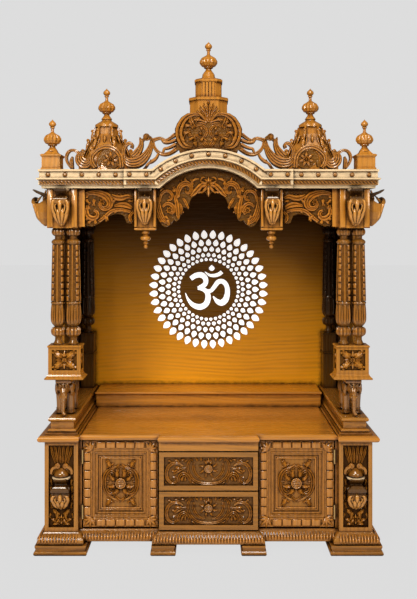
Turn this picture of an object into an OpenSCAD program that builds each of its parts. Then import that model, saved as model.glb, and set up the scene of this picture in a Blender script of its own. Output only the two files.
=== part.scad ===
/* [Cabinet] */
// Width of the cabinet across its corner piers
cabinet_w = 1166; // [1120:2:1260]
// Depth of the cabinet from the pier faces to its back
cabinet_d = 590; // [560:2:640]
// Height of the cabinet body above its base moulding
body_h = 320; // [300:2:340]
// Width of each corner pier
pier_w = 118; // [110:1:126]
// Depth of each corner pier
pier_d = 60; // [50:1:70]
// Width of the centre bay that holds the drawers
centre_w = 354; // [330:2:370]
// Set-back of the door bays behind the pier faces
recess = 27; // [22:1:30]
// Thickness of the carcase boards
board_t = 18; // [15:1:20]
// Height of the feet
foot_h = 36; // [28:1:44]
// Projection of the foot slabs beyond the pier faces
foot_out = 33; // [28:1:36]
// Height of the carved base moulding
moulding_h = 40; // [34:1:46]
// Projection of the base moulding
moulding_out = 23; // [18:1:26]
// Thickness of the platform board
top_t = 22; // [18:1:26]
// Overhang of the platform board
top_out = 22; // [16:1:26]

/* [Doors and drawers] */
// Gap around doors and drawer fronts
reveal = 6; // [5:0.5:7]
// Thickness of a door
door_t = 22; // [18:1:24]
// Width of the fixed stile beside each door
stile_w = 10; // [8:1:12]
// Width of the blocked border round a door
border_w = 29; // [24:1:32]
// Radius of a hinge knuckle
knuckle_r = 4; // [3.5:0.1:4.5]
// Radius of a hinge pin
pin_r = 2; // [1.5:0.1:2.4]
// Length of a hinge
hinge_h = 50; // [40:1:60]
// Height of the plain rail over the drawers
rail_h = 34; // [28:1:40]
// Thickness of a drawer front
front_t = 20; // [16:1:22]
// Space behind the drawer boxes
drawer_rear = 92; // [70:2:130]
// Wall thickness of a drawer box
drawer_wall = 12; // [10:1:14]

/* [Shrine] */
// Height of the side sills on the platform
sill_h = 59; // [50:1:66]
// Width of the sill body
sill_w = 82; // [76:1:90]
// Height of the step along the back of the platform
step_h = 64; // [54:1:72]
// Depth of the step along the back of the platform
step_d = 147; // [120:1:180]
// Height of the elephants that carry the front columns
elephant_h = 134; // [124:1:144]
// Height of the carved box under the front columns
box_h = 102; // [90:1:112]
// Height of the turned columns
column_h = 422; // [400:2:460]
// Distance between the two columns of a pair
pair_pitch = 54; // [52:1:58]
// Distance of the column pairs inside the middle of the sills
column_in = 6; // [2:1:10]
// Height of the capital blocks
block_h = 142; // [136:1:150]
// Thickness of the back and side panels
panel_t = 17; // [14:1:20]
// Thickness of the carved valance boards
valance_t = 22; // [18:1:26]

/* [Cornice and roof] */
// Height of the cornice
cornice_h = 67; // [62:1:72]
// Radius of the underside of the arched middle of the cornice
arch_r = 247; // [240:1:256]
// Depth of the arch's centre below the underside of the cornice
arch_drop = 175; // [170:1:180]
// Half width of the middle part of the cornice
break_x = 300; // [290:1:320]
// Extra projection of the middle part of the cornice
break_out = 10; // [6:1:12]
// Thickness of the roof deck
deck_t = 18; // [14:1:22]
// Thickness of the open-work crest
crest_t = 24; // [18:1:28]
// Distance of the two domes from the centre line
dome_x = 407; // [395:1:420]
// Radius of a dome at its foot
dome_r = 104; // [92:1:112]
// Height of a dome below its finial
dome_h = 226; // [205:1:240]
// Width of the tower's lower tier
tower_w = 147; // [136:1:160]
// Height of the tower's lower tier
tower_h = 305; // [285:1:325]
// Width of the corner finials' pedestals
pedestal_w = 64; // [58:1:72]

/* [Emblem] */
// Radius of the outer ring of petals
emblem_r = 238; // [225:1:250]
// Petals in each ring
petals = 40; // [36:1:44]
// Thickness of the petals
petal_t = 3; // [2:0.5:4]
// Height of the emblem's centre above the platform
emblem_z = 473; // [455:1:490]

/* [Hidden] */
WOOD = [0.66, 0.40, 0.14];
DARK_WOOD = [0.44, 0.24, 0.09];
LIGHT_WOOD = [0.82, 0.55, 0.24];
INLAY = [0.93, 0.91, 0.86];
BRASS = [0.72, 0.56, 0.28];
eps = 0.01;

// Levels above the floor
body_z = foot_h + moulding_h;
top_z = body_z + body_h;
platform_z = top_z + top_t;
sill_z = platform_z + sill_h;
slab_t = 20;
box_z = sill_z + elephant_h + slab_t;
column_z = box_z + box_h;
block_z = column_z + column_h;
cornice_z = block_z + block_h;
roof_z = cornice_z + cornice_h;

// Places across the width, for the right-hand side
half_w = cabinet_w / 2;
half_c = centre_w / 2;
pier_x = half_w - pier_w;
drawn_w = 1166;
fit = cabinet_w / drawn_w;
bow_r = arch_r * fit;
bow_drop = arch_drop * fit;
arch_z = cornice_z - bow_drop;
mid_x = break_x * fit;
dome_at = dome_x * fit;
hinge_gap = 5;
door_x0 = half_c + reveal;
door_x1 = pier_x - stile_w - hinge_gap;
hinge_x = door_x1 + hinge_gap / 2;
sill_x = half_w - pier_w / 2;
column_x = sill_x - column_in;
panel_x = sill_x + sill_w / 2;

// Places along the depth, counted back from the pier faces
back_y = cabinet_d - panel_t - 5;
front_y = foot_out;
mid_y = (cabinet_d - front_y) / 2;
hinge_y = recess - knuckle_r - 0.5;
pair_y = 56;
side_y = 180;
block_y = 20;
wall_y = 42;
cornice_back = wall_y + valance_t;
deck_y = (cornice_back + back_y + panel_t) / 2;

// Puts the pier faces where the box round the whole object is centred on the origin
module in_frame() {
    translate([0, -mid_y, 0]) children();
}

// Right-hand shape as drawn for side 1, mirrored for side -1
module sided(side) {
    if (side > 0) children();
    else mirror([1, 0, 0]) children();
}

module both() {
    children();
    mirror([1, 0, 0]) children();
}

// A box from corner to corner
module span(x0, x1, y0, y1, z0, z1) {
    translate([x0, y0, z0]) cube([x1 - x0, y1 - y0, z1 - z0]);
}

// A closed solid through rings of points that run anticlockwise, from bottom to top
module ring_stack(rings) {
    n = len(rings[0]);
    m = len(rings);
    polyhedron(
        points = [for (ring = rings) each ring],
        faces = concat(
            [[for (j = [0 : n - 1]) j]],
            [for (i = [0 : m - 2], j = [0 : n - 1])
                [i * n + j, (i + 1) * n + j, (i + 1) * n + (j + 1) % n, i * n + (j + 1) % n]],
            [[for (j = [n - 1 : -1 : 0]) (m - 1) * n + j]]
        )
    );
}

// A block whose front and sides, and back if asked, follow the moulding profile [out, z]
module moulded(x0, x1, y0, y1, profile, back = 0) {
    n = len(profile) - 1;
    out = max([for (p = profile) p[0]]) + 1;
    intersection() {
        translate([0, y1 + out, 0]) rotate([90, 0, 0]) linear_extrude(height = y1 - y0 + 2 * out)
            polygon(concat(
                [for (p = profile) [x0 - p[0], p[1]]],
                [for (i = [n : -1 : 0]) [x1 + profile[i][0], profile[i][1]]]
            ));
        translate([x0 - out, 0, 0]) rotate([90, 0, 90]) linear_extrude(height = x1 - x0 + 2 * out)
            polygon(concat(
                [for (p = profile) [y0 - p[0], p[1]]],
                [for (i = [n : -1 : 0]) [y1 + back * profile[i][0], profile[i][1]]]
            ));
    }
}

// The same moulding round a front whose piers and centre stand proud of the bays between
module moulded_front(outer, pier, centre, y0, set_back, y1, profile) {
    moulded(-outer, -pier, y0, y1, profile);
    moulded(pier, outer, y0, y1, profile);
    moulded(-centre, centre, y0, y1, profile);
    moulded(-pier - 2, pier + 2, y0 + set_back, y1, profile);
}

// Half-round edge of a board that is t thick and lies at z
function nosing(z, t, steps = 6) =
    [for (i = [0 : steps]) [t / 2 * (sin(180 * i / steps) - 1), z + t / 2 * (1 - cos(180 * i / steps))]];

module nosed_board(x0, x1, y0, y1, z, t) {
    moulded(x0, x1, y0, y1, nosing(z, t), 1);
}

// A turning whose rings [radius, height, depth of lobes] swell into lobes round the axis
module lobed(profile, lobes, per_lobe = 4) {
    n = lobes * per_lobe;
    ring_stack([for (s = profile) [for (j = [0 : n - 1])
        let (a = 360 * j / n, r = s[0] - s[2] * (1 - abs(cos(a * lobes / 2))))
        [r * cos(a), r * sin(a), s[1]]]]);
}

module turned(profile) {
    rotate_extrude($fn = 64) polygon(profile);
}

// A point on a smooth curve through the points p at parameter t
function spline_at(p, t) =
    let (
        n = len(p),
        i = min(floor(t), n - 2),
        u = t - i,
        a = p[max(i - 1, 0)],
        b = p[i],
        c = p[i + 1],
        d = p[min(i + 2, n - 1)]
    )
    0.5 * (2 * b + (c - a) * u + (2 * a - 5 * b + 4 * c - d) * u * u + (3 * b - a - 3 * c + d) * u * u * u);

// A brush stroke through points [x, z, width]: it widens and narrows along a smooth curve
module stroke(p, steps = 4) {
    last = len(p) - 1;
    n = last * steps;
    q = [for (i = [0 : n]) spline_at(p, i / steps)];
    side = [for (i = [0 : n])
        let (a = q[max(i - 1, 0)], b = q[min(i + 1, n)], d = [b[0] - a[0], b[1] - a[1]])
        [-d[1], d[0]] / max(norm(d), eps)];
    polygon(concat(
        [for (i = [0 : n]) [q[i][0], q[i][1]] + side[i] * q[i][2] / 2],
        [for (i = [n : -1 : 0]) [q[i][0], q[i][1]] - side[i] * q[i][2] / 2]
    ));
}

// A flat shape drawn in x and z, as a board whose front is at y
module upright(y, t) {
    translate([0, y + t, 0]) rotate([90, 0, 0]) linear_extrude(height = t) children();
}

// Cabinet

module foot(x0, x1, y0, y1) {
    slab = foot_h / 2;
    neck = 7;
    moulded(x0, x1, y0, y1, concat(nosing(0, slab), [
        [-neck, slab], [-neck, slab + 4], [-neck + 3, foot_h - 5], [-neck + 3, foot_h],
    ]));
}

module feet() in_frame() color(DARK_WOOD) {
    corner = pier_w + 70;
    inner = 90;
    both() {
        foot(half_w + foot_out - corner, half_w + foot_out, -foot_out, corner - foot_out);
        foot(half_w + foot_out - corner, half_w + foot_out, cabinet_d - corner, cabinet_d);
        foot(half_c + 28 - inner, half_c + 28, -foot_out, inner - foot_out);
    }
}

module base_moulding() in_frame() color(WOOD) {
    m = moulding_out;
    rim = 62;
    z = foot_h;
    h = moulding_h;
    difference() {
        moulded_front(half_w, pier_x, half_c, 0, recess, cabinet_d, [
            [m - 6, z], [m, z + 0.1 * h], [m, z + 0.28 * h], [m - 2, z + 0.42 * h], [m - 6, z + 0.58 * h],
            [m - 13, z + 0.74 * h], [m - 19, z + 0.86 * h], [2, z + 0.94 * h], [2, z + h],
        ]);
        span(-half_w + rim, half_w - rim, rim, cabinet_d - rim, z - 1, z + h + 1);
    }
}

module cabinet_floor() in_frame() color(WOOD) {
    side = half_w - board_t;
    difference() {
        span(-side, side, recess + door_t + 2, cabinet_d - board_t, body_z, body_z + board_t);
        both() span(pier_x, side + 1, 0, pier_d, body_z - 1, body_z + board_t + 1);
    }
}

// Corner pier with a sunk panel on its face
module pier(side) in_frame() sided(side) color(WOOD) {
    frame = 14;
    sunk = 8;
    difference() {
        span(pier_x, half_w, 0, pier_d, body_z, top_z);
        span(pier_x + frame, half_w - frame, -1, sunk, body_z + frame, top_z - frame);
    }
    upright(4, sunk - 4) both_at(sill_x) {
        translate([13.5, body_z + 0.72 * body_h]) circle(r = 9, $fn = 40);
        stroke([[20, body_z + 0.71 * body_h, 8], [34, body_z + 0.68 * body_h, 9],
            [37, body_z + 0.63 * body_h, 7]]);
    }
}

module pier_left() pier(-1);
module pier_right() pier(1);

module both_at(x) {
    translate([x, 0]) {
        children();
        mirror([1, 0]) children();
    }
}

// Hanging lotus bud, w wide, h long and out deep, against the plane y = 0
module bud(w, h, out) {
    intersection() {
        rotate([90, 0, 90]) linear_extrude(height = w, center = true) bud_side(h, out);
        rotate([90, 0, 0]) linear_extrude(height = 2 * out + 4, center = true) bud_front(w, h);
    }
}

// Side of a bud: tongue leaf, curled petal and the bulb that hangs below
module bud_side(h, out) intersection() {
    translate([-2 * out, -2 * h]) square([2 * out, 3 * h]);
    union() {
        polygon([[0, -h * 0.2], [-out * 0.3, -h * 0.18], [-out * 0.38, -h * 0.24],
            [-out * 0.33, -h * 0.32], [-out * 0.45, -h * 0.36], [-out * 0.7, -h * 0.42],
            [-out * 0.82, -h * 0.52], [-out * 0.8, -h * 0.66], [-out * 0.62, -h * 0.82],
            [-out * 0.4, -h * 0.95], [-out * 0.24, -h], [-out * 0.08, -h * 0.96], [0, -h * 0.86]]);
        stroke([[0, -h * 0.26, h * 0.12], [-out * 0.24, -h * 0.19, h * 0.1],
            [-out * 0.45, -h * 0.13, h * 0.08],
            [-out * 0.75, -h * 0.08, h * 0.06], [-out * 0.98, -h * 0.02, h * 0.025]], 3);
        stroke([[-out * 0.4, -h * 0.4, h * 0.08], [-out * 0.7, -h * 0.44, h * 0.08],
            [-out * 0.91, -h * 0.38, h * 0.08], [-out * 0.95, -h * 0.28, h * 0.06],
            [-out * 0.82, -h * 0.23, h * 0.04]], 3);
    }
}

// Front of a bud
module bud_front(w, h) {
    both_at(0) polygon([[-eps, 0], [w * 0.34, 0], [w * 0.34, -h * 0.14], [w * 0.3, -h * 0.24],
        [w * 0.42, -h * 0.3], [w * 0.5, -h * 0.36], [w * 0.47, -h * 0.44], [w * 0.45, -h * 0.62],
        [w * 0.36, -h * 0.8], [w * 0.18, -h * 0.95], [-eps, -h]]);
}

// Round lip on top of a bud, out from the plane y = 0, with its top at z = 0
module bud_lip(r) {
    lip_t = 7;
    intersection() {
        translate([0, 0, -lip_t])
            turned([[0, 0], [0.9 * r, 0], [r, 2], [r, lip_t - 1], [0.95 * r, lip_t], [0, lip_t]]);
        translate([-r, -r, -lip_t]) cube([2 * r, r, lip_t]);
    }
}

module pier_corbels() in_frame() color(LIGHT_WOOD) both() {
    translate([sill_x, 8, body_z + 0.606 * body_h]) {
        bud(66, 113, 36);
        bud_lip(30);
    }
}

module cabinet_side(side) in_frame() sided(side) color(WOOD)
    span(half_w - board_t, half_w, pier_d, cabinet_d - board_t, body_z, top_z);

module cabinet_side_left() cabinet_side(-1);
module cabinet_side_right() cabinet_side(1);

module cabinet_back() in_frame() color(WOOD)
    span(-half_w, half_w, cabinet_d - board_t, cabinet_d, body_z, top_z);

module partitions() in_frame() color(WOOD) both()
    span(half_c - board_t, half_c, recess, cabinet_d - board_t, body_z + board_t, top_z);

module drawer_rail() in_frame() color(WOOD)
    span(-half_c, half_c, 0, recess, top_z - rail_h, top_z);

// Doors

module door_stiles() in_frame() color(WOOD) both()
    span(pier_x - stile_w, pier_x, recess, recess + door_t, body_z, top_z);

door_z0 = body_z + reveal;
door_z1 = top_z - reveal;

// Grooves that part the border of a door into blocks
module border_grooves(x0, x1, z0, z1) {
    groove = 2.5;
    deep = 3;
    across = 7;
    up = 8;
    lip = 2.5;
    for (i = [1 : across]) {
        x = x0 + border_w + (x1 - x0 - 2 * border_w) * (i - 0.5) / across;
        for (z = [z0 + lip, z1 - border_w + lip])
            translate([x - groove / 2, -1, z]) cube([groove, deep + 1, border_w - 2 * lip]);
    }
    for (i = [1 : up]) {
        z = z0 + border_w + (z1 - z0 - 2 * border_w) * (i - 0.5) / up;
        for (x = [x0 + lip, x1 - border_w + lip])
            translate([x, -1, z - groove / 2]) cube([border_w - 2 * lip, deep + 1, groove]);
    }
}

module door_leaf() {
    w = door_x1 - door_x0;
    h = door_z1 - door_z0;
    bead = 11;
    panel_y = 10;
    boss_r = 17;
    boss_h = 8;
    ring_r = 64;
    ring_w = 5;
    ring_h = 2.5;
    translate([door_x0, recess, door_z0]) {
        difference() {
            cube([w, door_t, h]);
            border_grooves(0, w, 0, h);
            translate([border_w, -1, border_w]) cube([w - 2 * border_w, 4, h - 2 * border_w]);
            translate([border_w + bead, -1, border_w + bead])
                cube([w - 2 * (border_w + bead), 7, h - 2 * (border_w + bead)]);
            translate([border_w + 2 * bead, -1, border_w + 2 * bead])
                cube([w - 2 * (border_w + 2 * bead), panel_y + 1, h - 2 * (border_w + 2 * bead)]);
        }
        translate([w / 2, panel_y, h / 2]) rotate([90, 0, 0]) {
            difference() {
                cylinder(r = ring_r, h = ring_h, $fn = 72);
                translate([0, 0, -1]) cylinder(r = ring_r - ring_w, h = ring_h + 2, $fn = 72);
            }
            cylinder(r = boss_r, h = boss_h, $fn = 48);
        }
    }
}

module door_left() in_frame() sided(-1) color(LIGHT_WOOD) door_leaf();
module door_right() in_frame() sided(1) color(LIGHT_WOOD) door_leaf();

hinge_levels = [door_z0 + 30, door_z1 - 30 - hinge_h];
knuckle_gap = 0.3;
pin_gap = 0.06;
leaf_t = 1.5;
leaf_d = 18;

// Fixed leaves and knuckles with the pin
module door_hinges() in_frame() color(BRASS) both() for (z = hinge_levels) {
    third = hinge_h / 3;
    span(door_x1 + hinge_gap - leaf_t, door_x1 + hinge_gap, recess, recess + leaf_d, z, z + hinge_h);
    for (k = [0, 2]) {
        translate([hinge_x, hinge_y, z + k * third + (k > 0 ? knuckle_gap : 0)])
            cylinder(r = knuckle_r, h = third - knuckle_gap, $fn = 32);
        span(door_x1 + hinge_gap - leaf_t, door_x1 + hinge_gap, hinge_y, recess + 1,
            z + k * third + (k > 0 ? knuckle_gap : 0), z + (k + 1) * third - (k > 0 ? 0 : knuckle_gap));
    }
    translate([hinge_x, hinge_y, z]) cylinder(r = pin_r, h = hinge_h, $fn = 32);
}

// Moving leaves with the middle knuckle
module door_leaves(side) in_frame() sided(side) color(BRASS) for (z = hinge_levels) {
    third = hinge_h / 3;
    difference() {
        union() {
            span(door_x1, door_x1 + leaf_t, recess, recess + leaf_d, z, z + hinge_h);
            translate([hinge_x, hinge_y, z + third]) cylinder(r = knuckle_r, h = third, $fn = 32);
            span(door_x1, door_x1 + leaf_t, hinge_y, recess + 1, z + third, z + 2 * third);
        }
        translate([hinge_x, hinge_y, z - 1]) cylinder(r = pin_r + pin_gap, h = hinge_h + 2, $fn = 32);
    }
}

module door_left_leaves() door_leaves(-1);
module door_right_leaves() door_leaves(1);

// Drawers

drawer_gap = 5;
front_h = (body_h - rail_h - 3 * drawer_gap) / 2;
front_z = [body_z + drawer_gap, body_z + front_h + 2 * drawer_gap];
run_gap = 0.3;
drawer_len = cabinet_d - board_t - front_t - drawer_rear;
box_low = 28;
runner_h = 14;
box_tall = front_h - box_low - 16;
side_gap = 6;
box_x = half_c - board_t - side_gap;

// A drawer: framed front and an open box
module drawer(level) in_frame() color(LIGHT_WOOD) {
    z0 = front_z[level];
    frame = 17;
    sunk = 7;
    bottom_t = 8;
    boss_r = 13;
    boss_up = 8;
    x = half_c - 1;
    difference() {
        span(-x, x, 0, front_t, z0, z0 + front_h);
        span(-x + frame, x - frame, -1, sunk, z0 + frame, z0 + front_h - frame);
    }
    upright(2, sunk - 2) translate([0, z0 + front_h / 2 + boss_up]) circle(r = boss_r, $fn = 48);
    upright(4, sunk - 4) translate([0, z0 + front_h / 2]) both_at(0)
        stroke([[90, 18, 5], [110, 28, 8], [134, 23, 10], [148, 4, 11], [150, -18, 10], [141, -36, 9],
            [126, -43, 7]]);
    difference() {
        span(-box_x, box_x, front_t, front_t + drawer_len, z0 + box_low, z0 + box_low + box_tall);
        span(-box_x + drawer_wall, box_x - drawer_wall, front_t + drawer_wall,
            front_t + drawer_len - drawer_wall,
            z0 + box_low + bottom_t, z0 + box_low + box_tall + 1);
    }
}

module drawer_upper() drawer(1);
module drawer_lower() drawer(0);

module drawer_runners() in_frame() color(WOOD) both() for (z = front_z)
    span(box_x - 10, half_c - board_t, recess + 13, cabinet_d - board_t, z + box_low - run_gap - runner_h,
        z + box_low - run_gap);

// Platform

module platform_board() in_frame() color(LIGHT_WOOD)
    moulded_front(half_w + top_out, pier_x - 7, half_c + 3, -top_out, recess, cabinet_d,
        nosing(top_z, top_t, 8));

module sill(side) in_frame() sided(side) color(WOOD) {
    s = sill_w / 2;
    moulded(sill_x - s, sill_x + s, 18, back_y, [
        [17, platform_z], [17, platform_z + 8], [8, platform_z + 8], [10, platform_z + 11],
            [10, platform_z + 14],
        [7, platform_z + 18], [0, platform_z + 20], [0, sill_z - 16], [5, sill_z - 13], [8, sill_z - 9],
        [8, sill_z - 5], [6, sill_z - 1], [4, sill_z],
    ]);
}

module sill_left() sill(-1);
module sill_right() sill(1);

step_x = sill_x - sill_w / 2 - 20;

module back_step() in_frame() color(LIGHT_WOOD) {
    tread = 12;
    y = back_y - step_d;
    z = platform_z + step_h - tread;
    riser = 15;
    moulded(-step_x - 4, step_x + 4, y - 12, back_y, nosing(z, tread));
    span(-step_x, step_x, y, y + riser, platform_z, z + 1);
    both() span(step_x - riser, step_x, y, back_y, platform_z, z + 1);
}

// Front supports

// A standing elephant that faces the front, with its feet at z = 0
module elephant(h) {
    k = h / 134;
    scale(k) {
        hull() {
            translate([0, 62, 92]) sphere(r = 33, $fn = 16);
            translate([0, 112, 90]) sphere(r = 34, $fn = 16);
            translate([0, 128, 78]) sphere(r = 27, $fn = 16);
        }
        translate([-30, 12, 116]) cube([60, 118, 18]);
        for (x = [-20, 20], y = [58, 128]) translate([x, y, 0]) cylinder(r1 = 13, r2 = 15, h = 80, $fn = 20);
        hull() {
            translate([0, 36, 100]) sphere(r = 22, $fn = 16);
            translate([0, 30, 84]) sphere(r = 17, $fn = 16);
        }
        hull() {
            translate([0, 16, 78]) sphere(r = 11, $fn = 16);
            translate([0, 11, 50]) sphere(r = 8, $fn = 16);
        }
        hull() {
            translate([0, 11, 50]) sphere(r = 8, $fn = 16);
            translate([0, 10, 12]) sphere(r = 6.5, $fn = 16);
        }
        for (s = [-1, 1]) {
            hull() {
                translate([s * 22, 44, 108]) sphere(r = 6, $fn = 12);
                translate([s * 33, 50, 96]) sphere(r = 5, $fn = 12);
                translate([s * 29, 42, 68]) sphere(r = 5, $fn = 12);
            }
            hull() {
                translate([s * 10, 20, 72]) sphere(r = 4, $fn = 12);
                translate([s * 12, 6, 62]) sphere(r = 2.5, $fn = 12);
            }
        }
    }
}

module elephants() in_frame() color(DARK_WOOD) both()
    translate([sill_x, 22, sill_z]) elephant(elephant_h);

box_w = 116;
box_d = 62;

// Carved box on its slab, under a pair of columns
module column_boxes() in_frame() color(WOOD) both() {
    x0 = column_x - box_w / 2;
    x1 = column_x + box_w / 2;
    y0 = pair_y - box_d / 2;
    y1 = pair_y + box_d / 2;
    z0 = box_z - slab_t;
    frame = 13;
    sunk = 6;
    difference() {
        moulded(x0, x1, y0, y1, [
            [9, z0], [12, z0 + 2], [12, z0 + 5], [8, z0 + 9], [4, z0 + 12], [2, z0 + slab_t - 3],
            [0, z0 + slab_t], [0, column_z - 8], [3, column_z - 6], [3, column_z - 2], [1, column_z],
        ], 1);
        span(x0 + frame, x1 - frame, y0 - 1, y0 + sunk, box_z + frame, column_z - frame - 3);
        span(x1 - sunk, x1 + 1, y0 + frame, y1 - frame, box_z + frame, column_z - frame - 3);
        span(x0 - 1, x0 + sunk, y0 + frame, y1 - frame, box_z + frame, column_z - frame - 3);
    }
    upright(y0 + 1, sunk - 1) translate([column_x, (box_z + column_z - 3) / 2]) circle(r = 8, $fn = 32);
}

// Columns

// Turned and fluted column, h tall, with its foot at z = 0
module column(h) {
    ring0 = 30;
    ring1 = 64;
    bulb0 = 68;
    bulb1 = 148;
    shaft0 = 155;
    shaft1 = h - 58;
    turned([[0, 0], [19, 0], [19, 5], [16, 8], [12.5, 16], [12, 26], [15, ring0 + 1], [15, ring1 - 1],
        [14, ring1 + 1], [16, bulb0 + 1], [16, bulb1 - 1], [25, bulb1 - 1], [26, bulb1 + 3.5],
        [25, shaft0 + 1], [16, shaft0 + 1], [16, shaft1 - 1], [21, shaft1 - 1], [24.5, shaft1 + 5],
        [24.5, shaft1 + 10], [20, shaft1 + 16], [13, shaft1 + 19], [13, h - 29], [19, h - 26],
        [23, h - 18], [23, h - 10], [20.5, h - 3], [20, h], [0, h]]);
    lobed([[17, ring0, 1], [23, ring0 + 7, 3], [25, ring0 + 17, 4], [23, ring1 - 7, 3], [16, ring1, 1]], 10);
    lobed([[17, bulb0, 1], [24, bulb0 + 8, 3], [26, bulb0 + 20, 3.5], [25, bulb1 - 14, 3],
        [23, bulb1, 2]], 8);
    lobed([[24, shaft0, 3], [19.5, shaft1, 2.5]], 8);
}

module column_pair(side) in_frame() sided(side) color(WOOD)
    for (s = [-1, 1]) translate([column_x + s * pair_pitch / 2, pair_y, column_z]) column(column_h);

module front_columns_left() column_pair(-1);
module front_columns_right() column_pair(1);

rear_x = column_x - 3;
rear_y = back_y - 35;
post_w = 54;

// Single columns in the back corners, each on a post and a small box, with a block up to the cornice
module rear_columns() in_frame() color(DARK_WOOD) both() {
    p = post_w / 2;
    small_box = 80;
    foot = box_z + small_box;
    span(rear_x - p, rear_x + p, rear_y - p, rear_y + p, sill_z, box_z - 6);
    moulded(rear_x - p, rear_x + p, rear_y - p, rear_y + p, [
        [0, box_z - 8], [5, box_z - 6], [5, box_z - 2], [1, box_z], [1, foot - 6], [4, foot - 5],
        [4, foot - 1], [2, foot],
    ], 1);
    translate([rear_x, rear_y, foot]) column(block_z - foot);
    span(rear_x - p, rear_x + p, rear_y - p, rear_y + p, block_z, cornice_z);
}

// Head of the front

module capital_blocks() in_frame() color(LIGHT_WOOD) both() {
    x0 = sill_x - pier_w / 2 + 5;
    x1 = half_w - 4;
    span(x0, x1, block_y, block_y + 90, block_z, cornice_z);
    span(x0 - 24, x0, block_y + 12, cornice_back, block_z + 5, cornice_z);
}

module capital_corbels() in_frame() color(LIGHT_WOOD) both() {
    drop = 6;
    side_out = 58;
    translate([sill_x, block_y, cornice_z]) {
        bud(62, block_h - drop, 46);
        bud_lip(27);
    }
    translate([half_w - 4, block_y + 45, cornice_z]) rotate([0, 0, 90]) bud(62, block_h - drop, side_out);
}

pendant_x = 227 * fit;
pendant_w = 78;

// Hanging blocks beside the arch, each with a bud and a turned drop
module pendants() in_frame() color(LIGHT_WOOD) both() {
    p = pendant_w / 2;
    span(pendant_x - p, pendant_x + p, block_y, cornice_back, block_z + 2, cornice_z);
    nosed_board(pendant_x - p, pendant_x + p, block_y - 5, cornice_back, block_z - 8, 10);
    translate([pendant_x, block_y + 18, block_z - 74]) turned([
        [0, 0], [5, 1], [7.5, 7], [5, 13], [4, 16], [9, 19], [9, 22], [7, 27], [17, 31], [19, 37],
        [17, 43], [9, 47], [9, 50], [14, 55], [15, 60], [13, 66.5], [0, 66.5],
    ]);
    translate([pendant_x, block_y, cornice_z]) {
        bud(56, block_h - 10, 40);
        bud_lip(25);
    }
}

// Carved valance beside the pendant: deep at the column, rising, with a curl by the pendant
module side_valances() in_frame() color(WOOD) both() upright(wall_y, valance_t) {
    x0 = pendant_x + pendant_w / 2;
    x1 = sill_x - pier_w / 2 + 5 - 24;
    z = cornice_z;
    w = x1 - x0;
    polygon([[x0, z], [x0, z - 103], [x0 + 0.05 * w, z - 112], [x0 + 0.1 * w, z - 126],
        [x0 + 0.16 * w, z - 124],
        [x0 + 0.19 * w, z - 112], [x0 + 0.22 * w, z - 98], [x0 + 0.3 * w, z - 91], [x0 + 0.42 * w, z - 91],
        [x0 + 0.54 * w, z - 98], [x0 + 0.64 * w, z - 112], [x0 + 0.76 * w, z - 128], [x0 + 0.87 * w, z - 136],
        [x0 + 0.96 * w, z - 134], [x1, z - 126], [x1, z]]);
}

// Carved board under the arch
module arch_valance() in_frame() color(WOOD) upright(wall_y, valance_t) {
    x1 = pendant_x - pendant_w / 2;
    z = cornice_z;
    gap = 0.3;
    outline = [[0, z - 30], [10, z - 14], [24, z + 2], [34, z - 8], [50, z - 18], [64, z - 38],
        [72, z - 58], [70, z - 66], [78, z - 70], [90, z - 66], [96, z - 84], [106, z - 108],
        [116, z - 118], [126, z - 112], [134, z - 126], [152, z - 138], [166, z - 134], [178, z - 118],
        [x1, z - 112]];
    intersection() {
        difference() {
            union() {
                translate([-x1, z - 150]) square([2 * x1, 150]);
                translate([0, arch_z]) circle(r = bow_r - gap, $fn = 180);
            }
            both_at(0) polygon(concat([[-1, z - 200]], [[-1, z - 30]], outline, [[x1 + 1, z - 112],
                [x1 + 1, z - 200]]));
        }
        translate([-x1, z - 150]) square([2 * x1, 300]);
    }
}

// Cornice

function cornice_profile(z) = [
    [0, z], [16, z], [16, z + 8], [20, z + 10], [25, z + 12], [25, z + 28], [32, z + 31], [32, z + 35],
    [23, z + 38], [23, z + 57], [26, z + 59], [27, z + cornice_h - 2], [25, z + cornice_h],
];

corner_x = half_w - 4;

module cornice_front(side) in_frame() sided(side) color(LIGHT_WOOD) intersection() {
    moulded(-corner_x, corner_x, block_y, cornice_back, cornice_profile(cornice_z));
    span(mid_x, corner_x + 99, block_y - 99, cornice_back, cornice_z, roof_z);
}

module cornice_left() cornice_front(-1);
module cornice_right() cornice_front(1);

module cornice_sides() in_frame() color(LIGHT_WOOD) both() {
    inner_x = corner_x - (cornice_back - block_y);
    translate([0, back_y, 0]) rotate([90, 0, 0]) linear_extrude(height = back_y - cornice_back)
        polygon(concat([[inner_x, cornice_z]], [for (p = cornice_profile(cornice_z)) [corner_x + p[0], p[1]]],
            [[inner_x, roof_z]]));
}

// Cornice section in [radius or height, depth]
function cornice_section(low) = concat(
    [for (p = cornice_profile(0)) [low + p[1], -p[0] - break_out + block_y]],
    [[low + cornice_h, cornice_back], [low, cornice_back]]
);

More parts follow.
